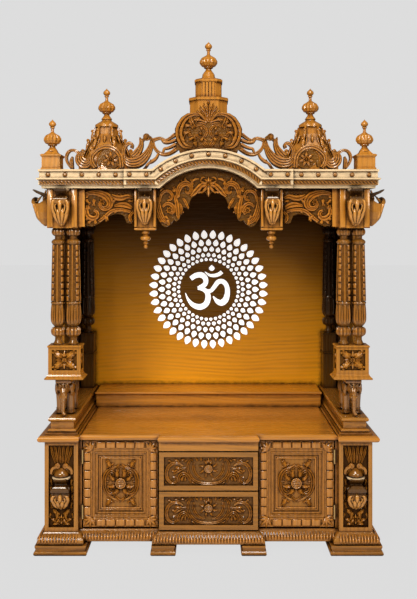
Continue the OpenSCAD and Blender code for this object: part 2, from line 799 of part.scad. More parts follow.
module cornice_centre() in_frame() color(LIGHT_WOOD) {
    low_x = sqrt(bow_r * bow_r - bow_drop * bow_drop);
    high_x = sqrt(pow(bow_r + cornice_h, 2) - pow(bow_drop + cornice_h, 2));
    slope = (high_x - low_x) / cornice_h;
    far = 400;
    intersection() {
        translate([0, 0, arch_z]) rotate([90, 0, 0]) mirror([0, 0, 1])
            rotate_extrude($fn = 180) polygon(cornice_section(bow_r));
        translate([0, far / 2, 0]) rotate([90, 0, 0]) linear_extrude(height = far) polygon([
            [-low_x + slope * 100, cornice_z - 100], [-low_x - slope * 200, cornice_z + 200],
            [low_x + slope * 200, cornice_z + 200], [low_x - slope * 100, cornice_z - 100],
        ]);
    }
    both() difference() {
        translate([0, 0, cornice_z]) rotate([90, 0, 90]) translate([0, 0, low_x - 1])
            linear_extrude(height = mid_x - low_x + 1) polygon([for (p = cornice_section(0)) [p[1], p[0]]]);
        translate([0, far / 2, 0]) rotate([90, 0, 0]) linear_extrude(height = far) polygon([
            [-1, cornice_z - 100], [-1, cornice_z + 200],
            [low_x + slope * 200, cornice_z + 200], [low_x - slope * 100, cornice_z - 100],
        ]);
    }
}

module roof_deck() in_frame() color(WOOD)
    span(-corner_x + cornice_back - block_y, corner_x - cornice_back + block_y, cornice_back,
        back_y + panel_t,
        roof_z - deck_t, roof_z);

module side_panels() in_frame() color(DARK_WOOD) both()
    span(panel_x - panel_t, panel_x, side_y, back_y, sill_z, cornice_z);

module back_panel() in_frame() color(LIGHT_WOOD)
    span(-panel_x, panel_x, back_y, back_y + panel_t, platform_z, roof_z - deck_t);

// Emblem on the back panel

// A petal with its point up: w wide and h long, centred on the origin
module petal(w, h) {
    polygon([[0, h * 0.55], [w * 0.2, h * 0.36], [w * 0.44, h * 0.12], [w * 0.48, -h * 0.08],
        [w * 0.34, -h * 0.3],
        [w * 0.12, -h * 0.45], [-w * 0.12, -h * 0.45], [-w * 0.34, -h * 0.3], [-w * 0.48, -h * 0.08],
        [-w * 0.44, h * 0.12], [-w * 0.2, h * 0.36]]);
}

ring_share = [1, 0.854, 0.735, 0.63, 0.546];

module emblem_petals() in_frame() color(INLAY)
    upright(back_y - petal_t, petal_t) translate([0, platform_z + emblem_z])
        for (k = [0 : 4], i = [0 : petals - 1]) {
        r = emblem_r * ring_share[k];
        w = 0.78 * 2 * PI * r / petals;
        rotate((i + (k % 2) / 2) * 360 / petals) translate([0, r]) petal(w, w * (k == 0 ? 1.3 : 1.12));
    }

// The sign in the emblem's middle, drawn with brush strokes
module om_sign() in_frame() color(INLAY)
    upright(back_y - petal_t, petal_t) translate([0, platform_z + emblem_z]) scale(emblem_r / 238) {
        stroke([[-77, 46, 20], [-55, 60, 22], [-30, 62, 24], [-13, 46, 22], [-14, 24, 20], [-32, 10, 20],
            [-46, 4, 16]], 5);
        stroke([[-46, 6, 14], [-22, 0, 18], [-6, -14, 21], [-2, -38, 24], [-12, -64, 24], [-36, -76, 25],
            [-66, -68, 20], [-88, -44, 11], [-100, -16, 3]], 5);
        stroke([[-8, -6, 14], [10, -6, 16], [26, 12, 18], [42, 32, 20], [62, 34, 20], [78, 16, 20],
            [82, -14, 22],
            [74, -44, 26], [56, -58, 26], [36, -50, 18], [20, -30, 5]], 5);
        stroke([[-16, 76, 3], [4, 62, 11], [26, 60, 15], [46, 66, 16], [58, 76, 16]], 5);
        translate([14, 92]) petal(26, 26);
    }

// Crest, in [x, z] from the middle of the cornice's top

crest_y = 0;

module crest_side_shape() {
    // end curl with its small leaf
    stroke([[489, 4, 7], [503, 24, 7], [507, 45, 8], [498, 64, 8], [483, 69, 8], [468, 64, 9],
        [458, 50, 12]]);
    stroke([[484, 2, 6], [489, 27, 13], [485, 46, 3]], 3);
    // feathered leaf
    stroke([[449, 66, 6], [460, 46, 26], [455, 28, 36], [438, 19, 36], [424, 28, 22], [418, 48, 8]]);
    // arch over the round leaf
    stroke([[402, 4, 14], [414, 24, 12], [416, 44, 13], [404, 63, 14], [384, 77, 15], [362, 81, 16],
        [337, 74, 16],
        [319, 56, 16], [311, 32, 16], [309, 4, 16]]);
    translate([348, 34]) circle(r = 33, $fn = 40);
    stroke([[392, 10, 6], [384, 40, 14], [366, 62, 16], [350, 60, 10]], 4);
    // fluted swan body, its neck and its rolled head
    stroke([[201, 100, 15], [208, 76, 19], [221, 51, 28], [243, 29, 36], [268, 21, 38], [290, 27, 30],
        [303, 44, 12]]);
    stroke([[245, 114, 4], [239, 100, 13], [241, 82, 18], [253, 60, 26], [272, 42, 28]]);
    translate([221, 116]) circle(r = 12, $fn = 32);
    stroke([[224, 120, 12], [208, 112, 13], [200, 98, 14]], 4);
    stroke([[228, 110, 8], [236, 102, 10]], 2);
    // tail curl
    stroke([[302, 34, 14], [305, 60, 12], [297, 82, 11], [283, 94, 11], [271, 88, 9], [272, 75, 6]]);
    // hooked scroll with its leaves
    stroke([[200, 104, 14], [196, 85, 10], [186, 67, 10], [166, 54, 11], [145, 54, 11], [126, 63, 12],
        [108, 78, 14]]);
    stroke([[201, 103, 13], [185, 109, 10], [170, 111, 10], [152, 104, 9], [137, 111, 9], [112, 128, 14]]);
    stroke([[168, 108, 7], [160, 97, 8], [146, 95, 9], [130, 99, 9], [108, 108, 10]]);
    stroke([[163, 56, 7], [158, 73, 8], [146, 75, 8], [130, 81, 9], [108, 93, 10]]);
    // stem that props the scroll on the arch
    stroke([[178, 56, 7], [186, 40, 8], [201, 28, 10], [213, 22, 7], [222, 10, 8], [232, -2, 7]]);
}

under = 100;

module crest_side(side) in_frame() sided(side) color(DARK_WOOD) upright(crest_y, crest_t) difference() {
    translate([0, roof_z]) scale([fit, 1]) crest_side_shape();
    translate([0, arch_z]) circle(r = bow_r + cornice_h, $fn = 180);
    translate([0, roof_z - under]) square([half_w, under]);
    translate([0, roof_z]) both_at(0) scale([fit, 1]) crest_middle_shape();
}

module crest_left() crest_side(-1);
module crest_right() crest_side(1);

module crest_middle_shape() {
    // cartouche
    polygon([[0, 40], [96, 40], [106, 70], [113, 84], [115, 104], [119, 125], [120, 143], [112, 163],
        [97, 185],
        [76, 199], [50, 203], [30, 195], [14, 178], [0, 170]]);
    // palm leaves over it
    stroke([[0, 150, 12], [0, 210, 17], [0, 246, 3]]);
    stroke([[2, 160, 8], [10, 205, 12], [17, 236, 3]]);
    stroke([[6, 166, 8], [20, 200, 11], [30, 226, 3]]);
    stroke([[12, 170, 8], [28, 194, 10], [41, 211, 3]]);
}

module crest_centre() in_frame() color(DARK_WOOD) upright(crest_y, crest_t) difference() {
    translate([0, roof_z]) both_at(0) scale([fit, 1]) crest_middle_shape();
    translate([0, arch_z]) circle(r = bow_r + cornice_h, $fn = 180);
}

// Roof ornaments

// Turned and ribbed finial with its foot at z = 0, r the radius of its melon
module finial(r) {
    turned([[0, 0], [0.62 * r, 0], [0.6 * r, 0.1 * r], [0.34 * r, 0.45 * r], [0.3 * r, 0.62 * r],
        [0.5 * r, 0.7 * r], [0.5 * r, 0.8 * r], [0.4 * r, 0.86 * r], [0.4 * r, 2.0 * r],
        [0.36 * r, 2.06 * r], [0.18 * r, 2.2 * r], [0.15 * r, 2.6 * r], [0.26 * r, 2.66 * r],
        [0.26 * r, 2.74 * r], [0.2 * r, 2.8 * r], [0.36 * r, 2.95 * r], [0.41 * r, 3.1 * r],
        [0.36 * r, 3.26 * r], [0.2 * r, 3.42 * r], [0.07 * r, 3.54 * r], [0, 3.66 * r]]);
    lobed([[0.5 * r, 0.82 * r, 0], [0.8 * r, 0.95 * r, 0.05 * r], [r, 1.25 * r, 0.1 * r],
        [0.98 * r, 1.5 * r, 0.1 * r],
        [0.8 * r, 1.8 * r, 0.06 * r], [0.5 * r, 1.98 * r, 0]], 12);
}

module domes() in_frame() color(WOOD) both() translate([dome_at, deck_y, roof_z]) {
    k = dome_r;
    h = dome_h;
    rotate_extrude($fn = 6) polygon([[0, 0], [k, 0], [k, 8], [0.97 * k, 12], [0.96 * k, 40], [0.9 * k, 70],
        [0.78 * k, 102], [0.62 * k, 134], [0.48 * k, 164], [0.42 * k, h - 32], [0, h - 32]]);
    for (i = [0 : 5]) rotate(60 * i) rotate([90, 0, 0]) linear_extrude(height = 7, center = true)
        stroke([[0.94 * k, 12, 14], [0.94 * k, 50, 12], [0.8 * k, 98, 10], [0.58 * k, 146, 9],
            [0.44 * k, h - 34, 8]]);
    translate([0, 0, h - 33]) turned([[0, 0], [0.44 * k, 0], [0.44 * k, 10], [0.4 * k, 13], [0.36 * k, 16],
        [0.2 * k, 26], [0.17 * k, 33], [0, 33]]);
    translate([0, 0, h - 1]) finial(0.33 * k);
}

// A stack of eight-sided slabs [half width, bottom, top]
module eight_sided(chamfer, slabs) {
    for (s = slabs) {
        w = s[0];
        c = w - chamfer;
        translate([0, 0, s[1]]) linear_extrude(height = s[2] - s[1])
            polygon([[-w, -c], [-c, -w], [c, -w], [w, -c], [w, c], [c, w], [-c, w], [-w, c]]);
    }
}

// Two tiers with caps and the tallest finial
module tower() in_frame() color(WOOD) translate([0, deck_y, roof_z]) {
    w = tower_w / 2;
    u = tower_w / 3;
    upper = 62;
    strip = 9;
    base = tower_h + upper;
    eight_sided(34, [[w + 8, 0, 14], [w + 4, 14, 20], [w, 20, tower_h - 12],
        [w + 4, tower_h - 12, tower_h - 3],
        [w + 2, tower_h - 3, tower_h]]);
    eight_sided(20, [[u + 2, tower_h, tower_h + 5], [u, tower_h + 5, base], [u + 4, base, base + 3],
        [u + 6, base + 3, base + 10], [u + 2, base + 10, base + 14]]);
    for (a = [0 : 90 : 270], x = [-1.5 : 1.5]) rotate(a)
        translate([x * strip * 1.4 - strip / 2, -u - 3, tower_h]) cube([strip, 10, upper - 1]);
    translate([0, 0, base + 14]) turned([[0, 0], [35, 0], [33, 5], [26, 13], [24, 25], [0, 25]]);
    translate([0, 0, base + 38.5]) finial(36);
}

module corner_finials() in_frame() color(LIGHT_WOOD) both() {
    p = pedestal_w / 2;
    x = corner_x - 18;
    y = block_y - 27 + p + 4;
    translate([x, y, roof_z]) {
        moulded(-p, p, -p, p, [[3, 0], [3, 5], [0, 7], [0, 43], [2, 45], [5, 49], [5, 52], [0, 55]], 1);
        translate([0, 0, 54]) rotate(45) rotate_extrude($fn = 4) polygon([[0, 0], [1.2 * p, 0],
            [0.7 * p, 13], [0, 13]]);
        translate([0, 0, 65]) finial(32);
    }
}

feet();
base_moulding();
cabinet_floor();
pier_left();
pier_right();
pier_corbels();
cabinet_side_left();
cabinet_side_right();
cabinet_back();
partitions();
drawer_rail();
drawer_runners();
door_stiles();
door_left();
door_right();
door_hinges();
door_left_leaves();
door_right_leaves();
drawer_upper();
drawer_lower();
platform_board();
sill_left();
sill_right();
back_step();
elephants();
column_boxes();
front_columns_left();
front_columns_right();
rear_columns();
capital_blocks();
capital_corbels();
side_panels();
back_panel();
emblem_petals();
om_sign();
side_valances();
arch_valance();
pendants();
cornice_left();
cornice_right();
cornice_centre();
cornice_sides();
roof_deck();
crest_left();
crest_right();
crest_centre();
domes();
tower();
corner_finials();
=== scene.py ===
"""Carved finish for a teak home temple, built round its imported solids."""

import math

import bpy
from bpy.props import FloatProperty, FloatVectorProperty, IntProperty, PointerProperty
from mathutils import Matrix, Vector


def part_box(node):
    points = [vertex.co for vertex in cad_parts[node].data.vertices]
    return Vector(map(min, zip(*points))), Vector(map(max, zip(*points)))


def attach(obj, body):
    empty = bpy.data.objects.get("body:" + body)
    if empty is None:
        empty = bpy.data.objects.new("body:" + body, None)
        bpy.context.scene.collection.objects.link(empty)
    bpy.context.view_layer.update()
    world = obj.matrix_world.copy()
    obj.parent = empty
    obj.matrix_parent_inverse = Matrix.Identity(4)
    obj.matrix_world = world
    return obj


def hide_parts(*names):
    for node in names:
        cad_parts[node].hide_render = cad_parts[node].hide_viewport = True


bl_info = {
    "name": "Temple Carver",
    "version": (1, 0, 0),
    "blender": (4, 5, 0),
    "location": "View3D > Sidebar > Temple",
    "description": "Adds the carving, finishes and studio for a carved home temple",
    "category": "Object",
}

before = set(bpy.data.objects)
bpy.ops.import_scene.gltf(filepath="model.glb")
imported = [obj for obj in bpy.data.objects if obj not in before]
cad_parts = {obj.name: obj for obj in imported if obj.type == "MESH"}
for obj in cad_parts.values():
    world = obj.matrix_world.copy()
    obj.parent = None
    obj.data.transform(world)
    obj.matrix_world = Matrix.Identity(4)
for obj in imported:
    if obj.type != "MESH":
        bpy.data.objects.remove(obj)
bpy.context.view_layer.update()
MM = 0.001
FACE_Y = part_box("pier_left")[0].y
PLATFORM_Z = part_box("platform_board")[1].z
CORNICE_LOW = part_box("cornice_left")[0].z
CORNICE_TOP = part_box("cornice_left")[1].z
BACK_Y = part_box("back_panel")[0].y
EMBLEM_Z = (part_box("emblem_petals")[0].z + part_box("emblem_petals")[1].z) / 2


# ---- places and strokes, in millimetres, with y counted back from the pier faces


def place(x, y, z):
    return Vector((x * MM, FACE_Y + y * MM, z * MM))


def mirrored(strokes):
    """The same strokes on the other side of the centre line as well."""
    return strokes + [[(-x, z, r) for x, z, r in s] for s in strokes]


def spiral(x, z, r0, r1, a0, a1, w0, w1, steps=7):
    """A stroke that winds round x, z from angle a0 to a1 in degrees."""
    out = []
    for i in range(steps + 1):
        t = i / steps
        a = math.radians(a0 + (a1 - a0) * t)
        r = r0 + (r1 - r0) * t
        out.append((x + r * math.cos(a), z + r * math.sin(a), w0 + (w1 - w0) * t))
    return out


def leaf(x, z, angle, length, width, curl=0.0):
    """A leaf that tapers to its tip; angle in degrees from +x, curl bends it to the left."""
    out = []
    for t, w in ((0, 0.35), (0.3, 1.0), (0.65, 0.8), (1, 0.12)):
        a = math.radians(angle + curl * t * t)
        out.append((x + length * t * math.cos(a), z + length * t * math.sin(a), max(width * w / 2, 0.4)))
    return out


def frond(x, z, angle, length, width, pairs=3, curl=0.0, spread=48):
    """An acanthus leaf: a bent midrib with lobes on both sides."""
    out = [leaf(x, z, angle, length, width, curl)]
    for i in range(pairs):
        t = 0.12 + 0.62 * i / max(pairs - 1, 1)
        a = math.radians(angle + curl * t * t)
        px, pz = x + length * t * math.cos(a), z + length * t * math.sin(a)
        size = length * (0.46 - 0.22 * i / max(pairs, 1))
        for side in (-1, 1):
            out.append(leaf(px, pz, math.degrees(a) + side * spread, size, width * 0.62, -side * 34))
    return out


def fan(x, z, angle, length, width, count, spread):
    """Leaves that open like a palm round one direction."""
    out = []
    for i in range(count):
        t = i / (count - 1) - 0.5 if count > 1 else 0
        out.append(leaf(x, z, angle + t * spread, length * (1 - 0.25 * abs(2 * t)), width, 30 * t))
    return out


def rosette(x, z, inner, outer, width, count, turn=0.0):
    out = []
    for i in range(count):
        a = turn + 360 * i / count
        ca, sa = math.cos(math.radians(a)), math.sin(math.radians(a))
        out.append(leaf(x + inner * ca, z + inner * sa, a, outer - inner, width))
    return out


def flutes(points, count, share=1.05):
    """Parallel ridges that fill a band drawn as (x, z, width)."""
    out = [[] for _ in range(count)]
    last = len(points) - 1
    for i, (x, z, w) in enumerate(points):
        ax, az, _ = points[max(i - 1, 0)]
        bx, bz, _ = points[min(i + 1, last)]
        long = math.hypot(bx - ax, bz - az) or 1
        nx, nz = -(bz - az) / long, (bx - ax) / long
        for k in range(count):
            off = w * ((k + 0.5) / count - 0.5)
            out[k].append((x + nx * off, z + nz * off, max(w * share / count / 2, 0.5)))
    return out


def scaled(strokes, k=1.0, x=0.0, z=0.0, flip=1):
    """The strokes made k times as large, flipped if asked, and moved."""
    return [[(x + a * k * flip, z + b * k, r * k) for a, b, r in s] for s in strokes]


def turned(strokes, angle, x=0.0, z=0.0):
    """The strokes turned round the origin by an angle in degrees, then moved."""
    c, n = math.cos(math.radians(angle)), math.sin(math.radians(angle))
    return [[(x + a * c - b * n, z + a * n + b * c, r) for a, b, r in s] for s in strokes]


def knob(x, z, r):
    """A round button as a very short stroke."""
    return [(x - r * 0.5, z, r * 0.45), (x, z, r), (x + r * 0.5, z, r * 0.45)]


# ---- making and finishing pieces


def nothing_selected():
    bpy.ops.object.select_all(action="DESELECT")


def activate(obj):
    nothing_selected()
    obj.select_set(True)
    bpy.context.view_layer.objects.active = obj


def finish(obj, name, material, body="mandir", smooth=35):
    """Names a piece, gives it its finish and lets it ride on its body."""
    obj.name = name
    obj.data.name = name
    activate(obj)
    bpy.ops.object.transform_apply(location=True, rotation=True, scale=True)
    if smooth:
        bpy.ops.object.shade_smooth_by_angle(angle=math.radians(smooth))
    obj.data.materials.clear()
    obj.data.materials.append(material)
    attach(obj, body)
    return obj


def joined(objects):
    nothing_selected()
    for o in objects:
        o.select_set(True)
    bpy.context.view_layer.objects.active = objects[0]
    if len(objects) > 1:
        bpy.ops.object.join()
    return bpy.context.view_layer.objects.active


def copies(obj, matrices):
    """One object made of copies of obj, each with its own mesh, placed by the matrices."""
    out = []
    for m in matrices:
        other = obj.copy()
        other.data = obj.data.copy()
        other.data.transform(m)
        if m.determinant() < 0:
            other.data.flip_normals()
        bpy.context.scene.collection.objects.link(other)
        out.append(other)
    bpy.data.objects.remove(obj)
    return joined(out)


def carve(strokes, sides=1, steps=3):
    """Rounded ridges along 3-D strokes of (point, radius): one curve object turned into a mesh."""
    nothing_selected()
    bpy.ops.curve.primitive_bezier_curve_add()
    obj = bpy.context.object
    curve = obj.data
    curve.splines.clear()
    curve.dimensions = "3D"
    curve.bevel_depth = 1.0
    curve.bevel_resolution = sides
    curve.resolution_u = steps
    curve.use_fill_caps = True
    for stroke in strokes:
        spline = curve.splines.new("BEZIER")
        spline.bezier_points.add(len(stroke) - 1)
        for p, (co, radius) in zip(spline.bezier_points, stroke):
            p.co = co
            p.radius = radius
            p.handle_left_type = p.handle_right_type = "AUTO"
    activate(obj)
    bpy.ops.object.convert(target="MESH")
    return bpy.context.object


def relief(strokes, flat=0.8, sides=1, steps=3, level=None):
    """Ridges for flat strokes of (x, z, radius) in mm, about the plane y = 0, before they are set on a board."""
    obj = carve([[(Vector((x, 0, z)) * MM, r * MM) for x, z, r in s] for s in strokes], sides, steps)
    obj.data.transform(Matrix.Diagonal((1, flat, 1, 1)))
    if level:
        for v in obj.data.vertices:
            v.co.y -= level(v.co.x / MM, v.co.z / MM) * MM
    return obj


def set_on(obj, x, y, z):
    obj.data.transform(Matrix.Translation(place(x, y, z)))
    return obj


def ball(x, y, z, radius, squash=(1, 1, 1), detail=2):
    nothing_selected()
    bpy.ops.mesh.primitive_ico_sphere_add(subdivisions=detail, radius=radius * MM, location=place(x, y, z))
    obj = bpy.context.object
    obj.scale = squash
    bpy.ops.object.transform_apply(location=True, rotation=True, scale=True)
    return obj


def block(x0, x1, y0, y1, z0, z1, edge=0.0, segments=2):
    """A box between corners in mm with rounded edges."""
    nothing_selected()
    a, b = place(x0, y0, z0), place(x1, y1, z1)
    bpy.ops.mesh.primitive_cube_add(size=1, location=(a + b) / 2)
    obj = bpy.context.object
    obj.scale = b - a
    bpy.ops.object.transform_apply(location=True, rotation=True, scale=True)
    if edge:
        bpy.ops.object.mode_set(mode="EDIT")
        bpy.ops.mesh.select_all(action="SELECT")
        bpy.ops.mesh.bevel(offset=edge * MM, segments=segments, affect="EDGES")
        bpy.ops.object.mode_set(mode="OBJECT")
    return obj


def subdivided(obj, levels=1):
    activate(obj)
    m = obj.modifiers.new("smooth", "SUBSURF")
    m.levels = m.render_levels = levels
    bpy.ops.object.modifier_apply(modifier=m.name)
    return obj


# ---- properties


def colour(name, description, value):
    return FloatVectorProperty(
        name=name, description=description, default=value, subtype="COLOR", size=3, min=0, max=1
    )


class TempleFinish(bpy.types.PropertyGroup):
    light: colour("Light grain", "Colour of the pale grain of the varnished teak", (0.43, 0.148, 0.0095))
    dark: colour("Dark grain", "Colour of the dark grain of the teak", (0.15, 0.042, 0.0026))
    # gold is the colour of the painted highlights on the high spots of the carving.
    gold: colour("Rubbed edge", "Colour of the high spots where the stain is rubbed back", (0.72, 0.34, 0.055))
    cream: colour("Cream band", "Colour of the pale bands of the cornice", (0.76, 0.56, 0.33))
    # recess is the colour of all painted shade: in recesses, under overhangs and on carved grounds.
    recess: colour("Recess", "Colour of the stain that stays in the carving", (0.011, 0.0032, 0.0009))
    inlay: colour("Inlay", "Colour of the white petals and sign", (0.86, 0.85, 0.82))
    brass: colour("Brass", "Colour of the hinges", (0.7, 0.47, 0.18))
    gloss: FloatProperty(name="Roughness", description="Roughness of the varnish", default=0.24, min=0.05, max=1)
    reach: FloatProperty(
        name="Recess reach", description="How near a wall has to be to darken a recess",
        default=0.02, min=0.001, max=0.1, unit="LENGTH",
    )


class TempleSizes(bpy.types.PropertyGroup):
    button_pitch: FloatProperty(
        name="Cornice button", description="Distance between the buttons of the cornice",
        default=0.06, min=0.03, max=0.12, unit="LENGTH",
    )
    leaf_pitch: FloatProperty(
        name="Cornice leaf", description="Distance between the leaves of the cornice",
        default=0.0125, min=0.008, max=0.04, unit="LENGTH",
    )
    base_pitch: FloatProperty(
        name="Base leaf", description="Distance between the leaves of the base moulding",
        default=0.0108, min=0.008, max=0.05, unit="LENGTH",
    )
    bead: FloatProperty(
        name="Bead", description="Radius of the beads on the columns",
        default=0.0036, min=0.002, max=0.006, unit="LENGTH",
    )
    petals: IntProperty(name="Rosette leaves", description="Leaves of each box rosette", default=8, min=5, max=12)


class TempleStage(bpy.types.PropertyGroup):
    distance: FloatProperty(
        name="Distance", description="Distance of the camera from the pier faces",
        default=2.6, min=1, max=8, unit="LENGTH",
    )
    eye: FloatProperty(
        name="Eye height", description="Height of the camera", default=1.148, min=0.1, max=3, unit="LENGTH",
    )
    lens: FloatProperty(name="Lens", description="Focal length of the camera", default=43.93, min=15, max=120)
    rise: FloatProperty(name="Shift", description="Vertical shift of the camera", default=-0.116, min=-0.5, max=0.5)
    pale: colour("Backdrop", "Colour of the floor and backdrop", (0.723, 0.723, 0.723))


# ---- materials


def socket(group, name, direction, kind, default=None):
    s = group.interface.new_socket(name=name, in_out=direction, socket_type="NodeSocket" + kind)
    if default is not None:
        s.default_value = default
    return s


class Nodes:
    """Adds and joins the nodes of one tree."""

    def __init__(self, tree):
        self.tree = tree

    def add(self, kind, values=None, **settings):
        node = self.tree.nodes.new("ShaderNode" + kind)
        for k, v in settings.items():
            setattr(node, k, v)
        for k, v in (values or {}).items():
            if isinstance(v, bpy.types.NodeSocket):
                self.tree.links.new(v, node.inputs[k])
            else:
                node.inputs[k].default_value = v
        return node

    def mix(self, factor, a, b, blend="MIX"):
        node = self.add("Mix", data_type="RGBA", blend_type=blend)
        for k, v in ((0, factor), (6, a), (7, b)):
            if isinstance(v, bpy.types.NodeSocket):
                self.tree.links.new(v, node.inputs[k])
            elif k:
                node.inputs[k].default_value = (*v, 1)
            else:
                node.inputs[k].default_value = v
        return node.outputs[2]

    def maths(self, operation, a, b=0.0):
        return self.add("Math", {0: a, 1: b}, operation=operation, use_clamp=True).outputs[0]

    def ramp(self, value, low, high):
        return self.add("MapRange", {0: value, 1: low, 2: high, 3: 0.0, 4: 1.0}).outputs[0]


def new_group(name, inputs, outputs):
    group = bpy.data.node_groups.new(name, "ShaderNodeTree")
    for n, kind, default in inputs:
        socket(group, n, "INPUT", kind, default)
    for n, kind in outputs:
        socket(group, n, "OUTPUT", kind)
    nodes = Nodes(group)
    return group, nodes, nodes.tree.nodes.new("NodeGroupInput"), nodes.tree.nodes.new("NodeGroupOutput")


def grain_group():
    """Teak grain along X: broad figure, fine fibres and pores."""
    group, n, gin, gout = new_group(
        "teak_grain",
        [("Vector", "Vector", None), ("Light", "Color", None), ("Dark", "Color", None), ("Figure", "Float", 1.0)],
        [("Color", "Color"), ("Height", "Float"), ("Roughness", "Float")],
    )
    vector = gin.outputs["Vector"]
    drift = n.add("TexNoise", {"Vector": vector, "Scale": 1.3, "Detail": 1.5})
    stretched = n.add("Mapping", {"Vector": vector, "Scale": (0.5, 9.0, 9.0)})
    moved = n.add("VectorMath", {0: stretched.outputs[0], 1: drift.outputs["Color"]}, operation="ADD")
    figure = n.add("TexNoise", {"Vector": moved.outputs[0], "Scale": 3.2, "Detail": 5.0, "Roughness": 0.62,
                                "Distortion": 0.8})
    bands = n.add("TexWave", {"Vector": moved.outputs[0], "Scale": 2.1, "Distortion": 5.0, "Detail": 2.0,
                              "Detail Scale": 1.3}, bands_direction="Z")
    fibre_at = n.add("Mapping", {"Vector": vector, "Scale": (8.0, 210.0, 210.0)})
    fibre = n.add("TexNoise", {"Vector": fibre_at.outputs[0], "Scale": 1.0, "Detail": 3.0, "Roughness": 0.6})
    broad = n.ramp(figure.outputs["Fac"], 0.32, 0.68)
    lines = n.ramp(bands.outputs["Fac"], 0.15, 0.95)
    dark = n.maths("MULTIPLY", n.maths("MULTIPLY", lines, broad), gin.outputs["Figure"])
    fine = n.ramp(fibre.outputs["Fac"], 0.42, 0.68)
    amount = n.maths("ADD", n.maths("MULTIPLY", dark, 0.8), n.maths("MULTIPLY", fine, 0.3))
    n.tree.links.new(n.mix(amount, gin.outputs["Light"], gin.outputs["Dark"]), gout.inputs["Color"])
    n.tree.links.new(n.maths("SUBTRACT", 1.0, fine), gout.inputs["Height"])
    n.tree.links.new(n.maths("ADD", n.maths("MULTIPLY", fine, 0.1), 0.0), gout.inputs["Roughness"])
    return group


def occlusion_shade_group():
    """Painted shade in the recesses that ambient occlusion finds, and painted highlights on the high spots."""
    group, n, gin, gout = new_group(
        "occlusion_shade_and_highlight",
        [("Color", "Color", None), ("Open", "Float", 1.0), ("Gold", "Color", None), ("Recess", "Color", None),
         ("Vector", "Vector", None), ("Depth", "Float", 1.0)],
        [("Color", "Color"), ("Mask", "Float")],
    )
    patchy = n.add("TexNoise", {"Vector": gin.outputs["Vector"], "Scale": 60.0, "Detail": 3.0})
    shift = n.maths("MULTIPLY", n.ramp(patchy.outputs["Fac"], 0.3, 0.7), 0.22)
    openness = n.maths("SUBTRACT", gin.outputs["Open"], shift)
    # Painted highlight where the carving is most open; painted shade where it closes in.
    highlight_mask = n.ramp(gin.outputs["Open"], 0.8, 1.0)
    shut = n.maths("MULTIPLY", n.maths("SUBTRACT", 1.0, n.ramp(openness, 0.25, 0.8)), gin.outputs["Depth"])
    high = n.mix(n.maths("MULTIPLY", highlight_mask, 0.3), gin.outputs["Color"], gin.outputs["Gold"])
    n.tree.links.new(n.mix(shut, high, gin.outputs["Recess"]), gout.inputs["Color"])
    n.tree.links.new(shut, gout.inputs["Mask"])
    return group


def punch_group():
    """Small tool marks of a carved ground."""
    group, n, gin, gout = new_group(
        "tool_marks", [("Vector", "Vector", None), ("Size", "Float", 180.0)], [("Height", "Float")]
    )
    cells = n.add("TexVoronoi", {"Vector": gin.outputs["Vector"], "Scale": gin.outputs["Size"]}, feature="SMOOTH_F1")
    n.tree.links.new(n.ramp(cells.outputs["Distance"], 0.0, 0.6), gout.inputs["Height"])
    return group


